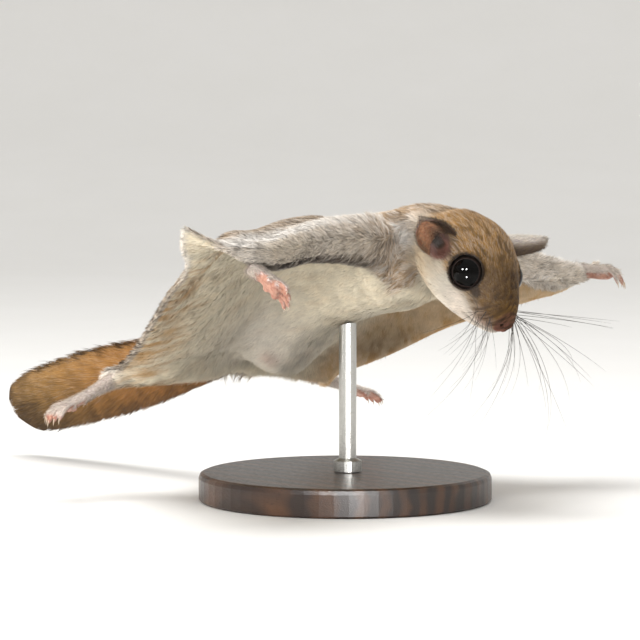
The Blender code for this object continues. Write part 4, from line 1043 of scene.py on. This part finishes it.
def buildEar(side):
    ear = ears[side]
    along = unit(ear["along"])
    opening = np.array(ear["open"], float)
    opening = unit(opening - along * (opening @ along))
    across = np.cross(opening, along)
    rows, columns = ears["rows"], ears["columns"]
    outer, inner, notes = [], [], []
    for row in range(rows):
        t = row / (rows - 1)
        width = ear["halfWidth"] * math.sin(math.pi * (0.22 + 0.74 * t))**0.7
        width *= math.sqrt(max(1 - (max(t - 0.78, 0) / 0.22)**2, 0.03))
        for column in range(columns):
            s = 2 * column / (columns - 1) - 1
            cup = ears["cup"] * (1 - 0.55 * t) * (1 - s * s) * (1 - 0.25 * t)
            fold = 0.35 * math.exp(-((s - 0.35) / 0.16)**2) * math.exp(-((t - 0.45) / 0.22)**2)
            spot = np.array(ear["root"]) + along * (ear["length"] * t - ears["sunk"])
            spot = spot + across * width * s - opening * cup
            rolled = min(1.0, 4.0 * (1 - abs(s))) * min(1.0, 6.0 * (1 - t))
            half = ears["half"] * (0.7 + 0.3 * rolled)
            outward = unit(across * s * 0.9 * ears["cup"] / ear["halfWidth"] - opening)
            outer.append(spot + outward * half)
            inner.append(spot - outward * (half + fold))
            edge = float(ramp(s * ears["darkEdge"][side], *ears["darkFrom"][side])) * (0.5 + 0.5 * float(ramp(t, 1.0, 0.7)))
            # painted shadow deep in the cup, near the base of the ear
            cupShadow = 0.95 * math.exp(-((s + 0.10) / 0.45)**2 - ((t - 0.26) / 0.30)**2)
            notes.append((max(0.9 * edge, 0.45 * (1 - rolled)), cupShadow))
    count = rows * columns
    points = np.array(outer + inner)
    faces = []
    for row in range(rows - 1):
        for column in range(columns - 1):
            a = row * columns + column
            b, c, d = a + 1, a + columns + 1, a + columns
            faces += [(a, b, c), (a, c, d), (count + a, count + c, count + b), (count + a, count + d, count + c)]
    border = [(0, i) for i in range(columns)] + [(i, columns - 1) for i in range(1, rows)]
    border += [(rows - 1, i) for i in range(columns - 2, -1, -1)] + [(i, 0) for i in range(rows - 2, 0, -1)]
    loop = [row * columns + column for row, column in border]
    for a, b in zip(loop, loop[1:] + loop[:1]):
        faces += [(a, count + a, count + b), (a, count + b, b)]
    piece = shapeMesh("ear_skin_" + side, toWorld(headToBody(points)), np.array(faces), earSkin)
    rim, cupShadow = np.array(notes).T
    inside = np.concatenate([0 * rim, 1 + 0 * rim])
    setVectors(piece.data, "place", np.stack([inside, np.tile(rim, 2), np.tile(cupShadow, 2) * inside], axis=1))
    settle(piece, "ear_skin", "ear_" + side)
    # velvet over the back of the ear and its rolled edge, and a thin down inside
    chance = np.random.default_rng(len(side))
    weight = np.concatenate([1 + 0 * rim, 0.25 + 1.2 * rim]) * np.tile(ramp(np.repeat(np.arange(rows), columns), 3, 8), 2)
    toRow = headAxes.T @ bodyAxes.T
    notes = np.stack([np.tile(rim, 2), inside], axis=1)
    shortFur("ear_hair_" + side, points, faces, weight, ears["hairs"], along, (0.9, 1.7), (0.15, 0.5), 0.13, toRow,
             lambda spots: toWorld(headToBody(spots)) / mm, notes, earColours, "ear_skin", chance)


def earColours(notes, chance):
    rim, inside = notes.T
    count = len(rim)
    zones = np.stack([0.25 + 0 * rim, 0.55 * rim + 0.35 * inside, 0 * rim], axis=1)
    dark = np.clip(0.85 * rim + 0.16 * chance.random(count), 0, 1)
    white = 0.65 * (1 - rim) * (1 - inside) * (chance.random(count) < 0.8)
    return zones, np.stack([dark, 0 * rim, white], axis=1), 0.25 * inside


# short hair over a small part: roots, lie and length in the part's own axes
def shortFur(name, points, faces, weight, count, way, lengths, lifts, width, toRow, rowOf, notes, colours, slotName, chance):
    faces = np.asarray(faces)
    picked, parts = scatter(points, faces, weight + 1e-6, count, chance)
    roots = spreadOver(points, faces, picked, parts)
    normal = unit(spreadOver(vertexNormals(points, faces), faces, picked, parts))
    flow = np.array(way) - normal * (normal @ np.array(way))[:, None]
    flow = unit(unit(flow) + 0.22 * chance.normal(0, 1, roots.shape))
    length = chance.uniform(*lengths, count)
    lift = chance.uniform(*lifts, count)
    paths, across = bladePaths(rowOf(roots), normal @ toRow, flow @ toRow, length, lift, 3, chance)
    zones, marks, pink = colours(spreadOver(notes, faces, picked, parts), chance)
    low, high = roots[:, :2].min(0), roots[:, :2].max(0)
    patchAt = 0.002 + 0.993 * (roots[:, :2] - low) / (high - low)
    fur = makeTufts(name, paths, across, normal @ toRow, width * chance.uniform(0.7, 1.3, count), zones, marks,
                    (pink, chance.random(count)), patchAt, hairFinish)
    return settle(fur, slotName)


for side in sides:
    buildEar(side)
print("ears")


# hands and feet: palm, toes and pads melted together
limbEnds = {
    "hand_right": {"root": (41.0, -66.0, 1.5), "along": (0.60, 0.20, -0.78), "back": (0.10, 0.78, 0.60), "curl": 0.9},
    "hand_left": {"root": (41.0, 67.0, 3.5), "along": (0.82, 0.50, -0.25), "back": (0.20, -0.10, 0.97), "curl": 3.1, "digits": 0.82, "palm": 1.16},
    "foot_right": {"root": (-49.0, -42.0, -3.0), "along": (-0.18, -0.92, -0.34), "back": (0.30, -0.35, 0.88), "curl": 1.0},
    "foot_left": {"root": (-49.0, 42.0, -3.0), "along": (-0.02, 0.96, -0.27), "back": (0.30, 0.25, 0.92), "curl": 0.8},
}
limbKinds = {
    "hand": {"palm": [(-2.5, 2.2, 2.1, 0), (2.1, 1.8, 1.7, 0), (4.7, 2.3, 1.8, -0.2), (7.1, 2.8, 1.8, -0.2), (8.3, 2.3, 1.3, -0.2)],
             "digits": [(6.6, 2.1, 0.26, 4.9), (6.6, -2.1, -0.26, 4.9), (7.3, 0.75, 0.08, 5.5), (7.3, -0.75, -0.08, 5.5)],
             "pads": [(4.4, 1.35, 1.15), (4.4, -1.35, 1.15), (7.3, 1.9, 1.0), (7.3, 0.0, 1.1), (7.3, -1.9, 1.0)],
             "radius": 0.80, "claw": 1.2},
    "foot": {"palm": [(-3.0, 2.9, 2.7, 0), (2.2, 2.4, 2.0, 0), (8.4, 2.0, 1.35, -0.3), (14.0, 2.5, 1.25, -0.4),
                      (17.9, 2.9, 1.25, -0.4), (20.2, 2.3, 0.9, -0.4)],
             "digits": [(17.4, 1.15 * s, 0.07 * s, 28 * (0.30 - 0.03 * abs(s))) for s in (-2, -1, 0, 1, 2)],
             "pads": [(17.6, 2.1, 1.0), (18.4, 0.75, 0.95), (18.4, -0.75, 0.95), (17.6, -2.1, 1.0), (13.0, 1.2, 0.9)],
             "radius": 0.70, "claw": 1.3},
}
digitStations = [(0.0, 0.9, 0.0), (0.18, 1.0, 0.02), (0.35, 0.92, 0.02), (0.5, 1.04, -0.02), (0.65, 0.85, -0.06),
                 (0.82, 1.0, -0.15), (0.95, 0.72, -0.24)]


def pawFinish():
    made = Finish("pawFinish", {"Specular IOR Level": 0.4})
    bare, luck, furry = made.attribute("place")
    grain = made.noise(1500.0, 4.0)
    flesh = made.mix(made.range(grain, 0.35, 0.65), tone("#bd907c"), tone("#9c6a58"))
    flesh = made.mix(made.range(made.noise(420.0, 2.0), 0.5, 0.7, 0.0, 0.5), flesh, tone("#8a4c3f"))
    furSkin = made.mix(made.range(grain, 0.4, 0.6), tone("#d8cdc8"), tone("#b8a59c"))
    creases = made.node("TexVoronoi", {"feature": "DISTANCE_TO_EDGE"}, {"Vector": made.place(), "Scale": 1300.0})
    height = creases + 0.5 * grain
    made.feed(colour=made.mix(bare, furSkin, flesh), roughness=made.range(grain, 0.3, 0.7, 0.36, 0.6),
              normal=made.bump(height, 0.00012, 0.7))
    return made


def clawFinish():
    made = Finish("clawFinish", {"Specular IOR Level": 0.6, "Coat Weight": 0.3})
    lines = made.noise(2400.0, 3.0)
    made.feed(colour=made.mix(lines, tone("#d8c6b0"), tone("#a98d74")), roughness=made.range(lines, 0.3, 0.7, 0.2, 0.4))
    return made


pawSkin, clawHorn = pawFinish(), clawFinish()
clawShapes = []


def buildLimbEnd(name, chance):
    kind = limbKinds[name.split("_")[0]]
    place = limbEnds[name]
    axes = axesFrom(place["along"], place["back"])
    east, up = np.array([0.0, 1.0, 0.0]), np.array([0.0, 0.0, 1.0])
    bulk, shorter = place.get("palm", 1.0), place.get("digits", 1.0)
    shapes = [tube([oval(np.array([x, 0.0, lift]), east, up, width * bulk, height * bulk, 20)
                    for x, width, height, lift in kind["palm"]])]
    for x, aside, lean, length in kind["digits"]:
        length = length * shorter
        way = unit(np.array([1.0, lean, 0.0]))
        beside = np.array([-way[1], way[0], 0.0])
        rings = []
        for share, size, drop in digitStations:
            centre = np.array([x, aside, 0.0]) + way * length * share + up * drop * place["curl"] * length
            rings.append(oval(centre, beside, up, kind["radius"] * size, kind["radius"] * size, 12))
        tip = rings[-1].mean(0)
        before = rings[-2].mean(0)
        rings.append(tip + (rings[-1] - tip) * 0.5 + unit(tip - before) * 0.55)
        shapes.append(tube(rings))
        forward = unit(tip - before)
        arc = []
        for share in np.linspace(0, 1, 7):
            centre = tip + up * 0.25 + forward * kind["claw"] * share - up * 0.9 * share**2
            half = 0.34 * (1 - share)**0.8 + 0.02
            arc.append(oval(centre, beside, np.cross(forward, beside), half * 0.7, half, 8))
        claw, clawFaces = tube(arc)
        clawShapes.append((toWorld(claw @ axes + np.array(place["root"])), clawFaces))
    for x, aside, size in kind["pads"]:
        shapes.append(ball(np.array([x, aside, -1.05]), np.eye(3), size, 10, 16))
    points, faces = joined(shapes)
    shape = largest(melted(points, faces, 0.27))
    bmesh.ops.triangulate(shape, faces=shape.faces)
    mesh = bpy.data.meshes.new(name)
    shape.to_mesh(mesh)
    shape.free()
    points, faces = readMesh(mesh)
    points = relax(points / mm, faces, 7)
    normals = vertexNormals(points, faces)
    bare = ramp(normals[:, 2], 0.25, -0.25) * ramp(points[:, 0], kind["pads"][0][0] - 6, kind["pads"][0][0] - 3)
    reach = max(x + length for x, _, _, length in kind["digits"])
    bare = np.maximum(bare, ramp(points[:, 0], reach - 3.2, reach - 1.4))
    world = toWorld(points @ axes + np.array(place["root"]))
    piece = shapeMesh(name + "_skin", world, faces, pawSkin)
    setVectors(piece.data, "place", np.stack([bare, bare * 0, 1 - bare], axis=1))
    settle(piece, "paw_skin", name)
    # short pale hair over the back of it
    weight = (1 - bare) * ramp(points[:, 0], reach - 1.5, reach - 4.0)
    root = np.array(place["root"])
    shortFur(name + "_hair", points, faces, weight, 5200 if "foot" in name else 3600, (1.0, 0.0, -0.1), (0.8, 2.0), (0.15, 0.5), 0.13,
             axes @ bodyAxes.T, lambda spots: toWorld(spots @ axes + root) / mm, np.stack([bare, bare], axis=1), pawColours, "paw_skin",
             chance)


def pawColours(notes, chance):
    count = len(notes)
    pale = 0.35 + 0.45 * chance.random(count)
    zones = np.stack([0.4 + 0 * pale, 0 * pale, 0 * pale], axis=1)
    return zones, np.stack([0.30 * (chance.random(count) < 0.25), 0 * pale, pale], axis=1), 0.15 + 0 * pale


limbChance = np.random.default_rng(5)
for name in limbEnds:
    buildLimbEnd(name, limbChance)
clawPoints, clawFaces = joined(clawShapes)
settle(shapeMesh("claws", clawPoints, clawFaces, clawHorn), "claw")
print("hands and feet")


# whiskers: long tapered hairs from the pads beside the nose
whiskers = {
    "ways": [(0.39, 0.83, 0.44, 27), (0.48, 0.82, 0.30, 29), (0.60, 0.78, 0.14, 30), (0.68, 0.72, 0.02, 29), (0.72, 0.66, -0.12, 31),
             (0.76, 0.58, -0.26, 28), (0.77, 0.46, -0.42, 30), (0.77, 0.30, -0.55, 26), (0.70, 0.20, -0.68, 22),
             (0.66, 0.36, -0.67, 24), (0.81, 0.08, -0.60, 20), (0.80, 0.22, -0.52, 26), (0.60, 0.16, -0.79, 15)],
    "perWay": 2, "near": (17.2, 4.4, -1.9), "far": (12.9, 6.7, -3.0), "radius": 0.062, "seed": 14, "nearSide": 0.72,
}


def whiskerFinish():
    made = Finish("whiskerFinish", {"Specular IOR Level": 0.4})
    grain = made.noise(900.0, 2.0)
    made.feed(colour=made.mix(grain, tone("#1d1714"), tone("#453a33")), roughness=made.range(grain, 0.3, 0.7, 0.35, 0.6))
    return made


def buildWhiskers():
    chance = np.random.default_rng(whiskers["seed"])
    shapes = []
    near, far = np.array(whiskers["near"]), np.array(whiskers["far"])
    for sign in (-1, 1):
        for number, (forward, aside, up, length) in enumerate(whiskers["ways"] * whiskers["perWay"]):
            if sign < 0 and up > 0.1 and number % 3:
                continue
            start = near + (far - near) * chance.random() + (0, 0, 1.4 * chance.uniform(-1, 0.6))
            way = unit(np.array([forward, aside, up]) + 0.14 * chance.normal(0, 1, 3)) * (1, sign, 1)
            start = start * (1, sign, 1) - way * 1.2
            length = length * chance.uniform(0.65, 1.30) * (1.3 if sign > 0 else whiskers["nearSide"] if up > -0.3 else 1.0)
            droop = np.array([-0.30, 0.0, -0.26]) * chance.uniform(0.1, 1.6)
            rings = []
            for share in np.linspace(0, 1, 16):
                centre = start + way * length * share + droop * length * share**2.2
                half = whiskers["radius"] * (1 - share)**0.6 + 0.012
                beside = unit(np.cross(way, (0.0, 0.1, 1.0)))
                rings.append(oval(centre, beside, np.cross(way, beside), half, half, 4))
            shapes.append(tube(rings))
    points, faces = joined(shapes)
    piece = shapeMesh("whiskers", toWorld(headToBody(points)), faces, whiskerFinish())
    return settle(piece, "whisker")


buildWhiskers()
print("whiskers")


# stand: oiled dark wood and a satin rod
def woodFinish():
    made = Finish("baseWoodFinish", {"Specular IOR Level": 0.5, "Coat Weight": 0.25, "Coat Roughness": 0.25})
    place = made.node("Mapping", {}, {"Vector": made.place(), "Scale": (40.0, 6.0, 40.0), "Rotation": (0.0, 0.0, 0.35)})
    wave = made.noise(3.0, 4.0, place)
    rings = made.node("TexWave", {"wave_type": "BANDS"}, {"Vector": place, "Scale": 1.4, "Distortion": 6.0, "Detail": 3.0})
    pores = made.noise(90.0, 3.0, place)
    shade = made.mix(made.range(rings, 0.2, 0.9), tone("#2b1a10"), tone("#53351f"))
    shade = made.mix(made.range(wave, 0.4, 0.7, 0.0, 0.6), shade, tone("#1c110b"))
    shade = made.mix(made.range(pores, 0.60, 0.72, 0.0, 0.7), shade, tone("#120a06"))
    made.feed(colour=shade, roughness=made.range(pores, 0.3, 0.7, 0.30, 0.48), normal=made.bump(pores, 0.0002, 0.35))
    return made


def steelFinish():
    made = Finish("rodSteelFinish", {"Metallic": 1.0})
    place = made.node("Mapping", {}, {"Vector": made.place(), "Scale": (1.0, 1.0, 14.0)})
    lines = made.noise(900.0, 3.0, place)
    made.feed(colour=made.mix(lines, tone("#a9a8a4"), tone("#c9c8c4")), roughness=made.range(lines, 0.3, 0.7, 0.24, 0.38),
              normal=made.bump(lines, 0.00003, 0.5))
    return made


for node, finish in (("stand_base", woodFinish()), ("stand_rod", steelFinish())):
    frame["nodes"][node].data.materials.clear()
    frame["nodes"][node].data.materials.append(finish.material)
print("stand")


# stage: pale floor, soft light and the photo's camera
stage = {
    "sweep": [(0.4, 0.0), (1.3, 0.0), (1.8, 0.08), (2.2, 0.3), (2.5, 0.75), (2.6, 1.4)], "sky": 0.74, "target": (-10.2, 0.2, 52.0), "away": 850.0,
    "right": (0.6955, -0.7185, 0.0), "up": (0.0501, 0.0485, 0.9976), "back": (-0.7167, -0.6939, 0.0698),
    "lens": 168.75, "sparks": [(462.7, 269.0), (466.7, 269.0), (466.8, 277.0)],
    "sparkAway": 90, "sparkSize": 0.013, "sparkPower": 0.18,
}


def floorFinish():
    made = Finish("floorFinish", {"Roughness": 0.9, "Specular IOR Level": 0.1})
    grain = made.noise(14.0, 3.0)
    made.feed(colour=made.mix(grain, tone("#f0efec"), tone("#f4f3f1")))
    return made


def buildFloor():
    count = 96
    turn = np.linspace(0, 2 * math.pi, count, endpoint=False)
    rings = [np.stack([np.cos(turn) * r, np.sin(turn) * r, 0 * turn + z], axis=1) for r, z in stage["sweep"]]
    points = np.concatenate([[[0, 0, 0]], *rings])
    faces = [(0, 1 + i, 1 + (i + 1) % count) for i in range(count)]
    for row in range(len(rings) - 1):
        for i in range(count):
            a, b = 1 + row * count + i, 1 + row * count + (i + 1) % count
            faces += [(a, a + count, b + count), (a, b + count, b)]
    floor = shapeMesh("floor", points - np.array([0, 0, 0.0001]), np.array(faces), floorFinish())
    floor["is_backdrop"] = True


def cameraSpot(x, y, z):
    axes = np.array([stage["right"], stage["up"], stage["back"]])
    return Vector((np.array(stage["target"]) + np.array([x, y, z]) @ axes) * mm)


def addLight(name, spot, aim, size, power, colour=(1.0, 1.0, 1.0)):
    data = bpy.data.lights.new(name, "AREA")
    data.shape = "DISK"
    data.size, data.energy, data.color = size, power, colour
    lamp = bpy.data.objects.new(name, data)
    bpy.context.scene.collection.objects.link(lamp)
    lamp.location = spot
    lamp.rotation_mode = "QUATERNION"
    lamp.rotation_quaternion = (aim - spot).to_track_quat("-Z", "Y")
    return lamp


# where a light has to be for its glint to show at a pixel of the right eye
def eyeMirror(pixel):
    turn = np.array([stage["right"], stage["up"], stage["back"]])
    centre = (toWorld(headToBody(eyeAxes("right")[0])) / mm - np.array(stage["target"])) @ turn.T
    camera = np.array([0.0, 0.0, stage["away"]])
    way = unit(np.array([(pixel[0] - 320) / 3000, (320 - pixel[1]) / 3000, -1.0]))
    gap = camera - centre
    reach = -(gap @ way) - math.sqrt((gap @ way)**2 - gap @ gap + eyes["radius"]**2)
    spot = camera + way * reach
    normal = unit(spot - centre)
    back = way - 2 * normal * (way @ normal)
    return cameraSpot(*(spot + back * stage["sparkAway"]))


def buildStage():
    scene = bpy.context.scene
    buildFloor()
    world = bpy.data.worlds.new("studio")
    scene.world = world
    world.use_nodes = True
    world.node_tree.nodes["Background"].inputs[0].default_value = (1.0, 0.99, 0.975, 1.0)
    world.node_tree.nodes["Background"].inputs[1].default_value = stage["sky"]
    middle = cameraSpot(0, 0, 0)
    key = addLight("key", cameraSpot(-720, -60, 330), middle, 0.36, 9.6, (1.0, 0.98, 0.95))
    above = addLight("above", cameraSpot(-150, 800, 120), middle, 0.5, 5.6)
    key.visible_glossy = above.visible_glossy = False
    for spot in stage["sparks"]:
        spark = addLight("spark", eyeMirror(spot), cameraSpot(42, 14, 12), stage["sparkSize"], stage["sparkPower"])
        spark.visible_diffuse = False
    camera = bpy.data.objects.new("camera", bpy.data.cameras.new("camera"))
    scene.collection.objects.link(camera)
    camera.data.lens = stage["lens"]
    camera.data.sensor_width = 36.0
    camera.data.clip_start = 0.01
    camera.data.clip_end = 60.0
    axes = Matrix((stage["right"], stage["up"], stage["back"])).transposed().to_4x4()
    axes.translation = cameraSpot(0, 0, stage["away"])
    camera.matrix_world = axes
    scene.camera = camera
    scene.view_settings.view_transform = "Standard"
    scene.cycles.max_bounces = 6


buildStage()
print("stage")
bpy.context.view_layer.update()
total = sum(len(thing.data.polygons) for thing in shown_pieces() if thing.type == "MESH")
print(f"all pieces: {total} faces")
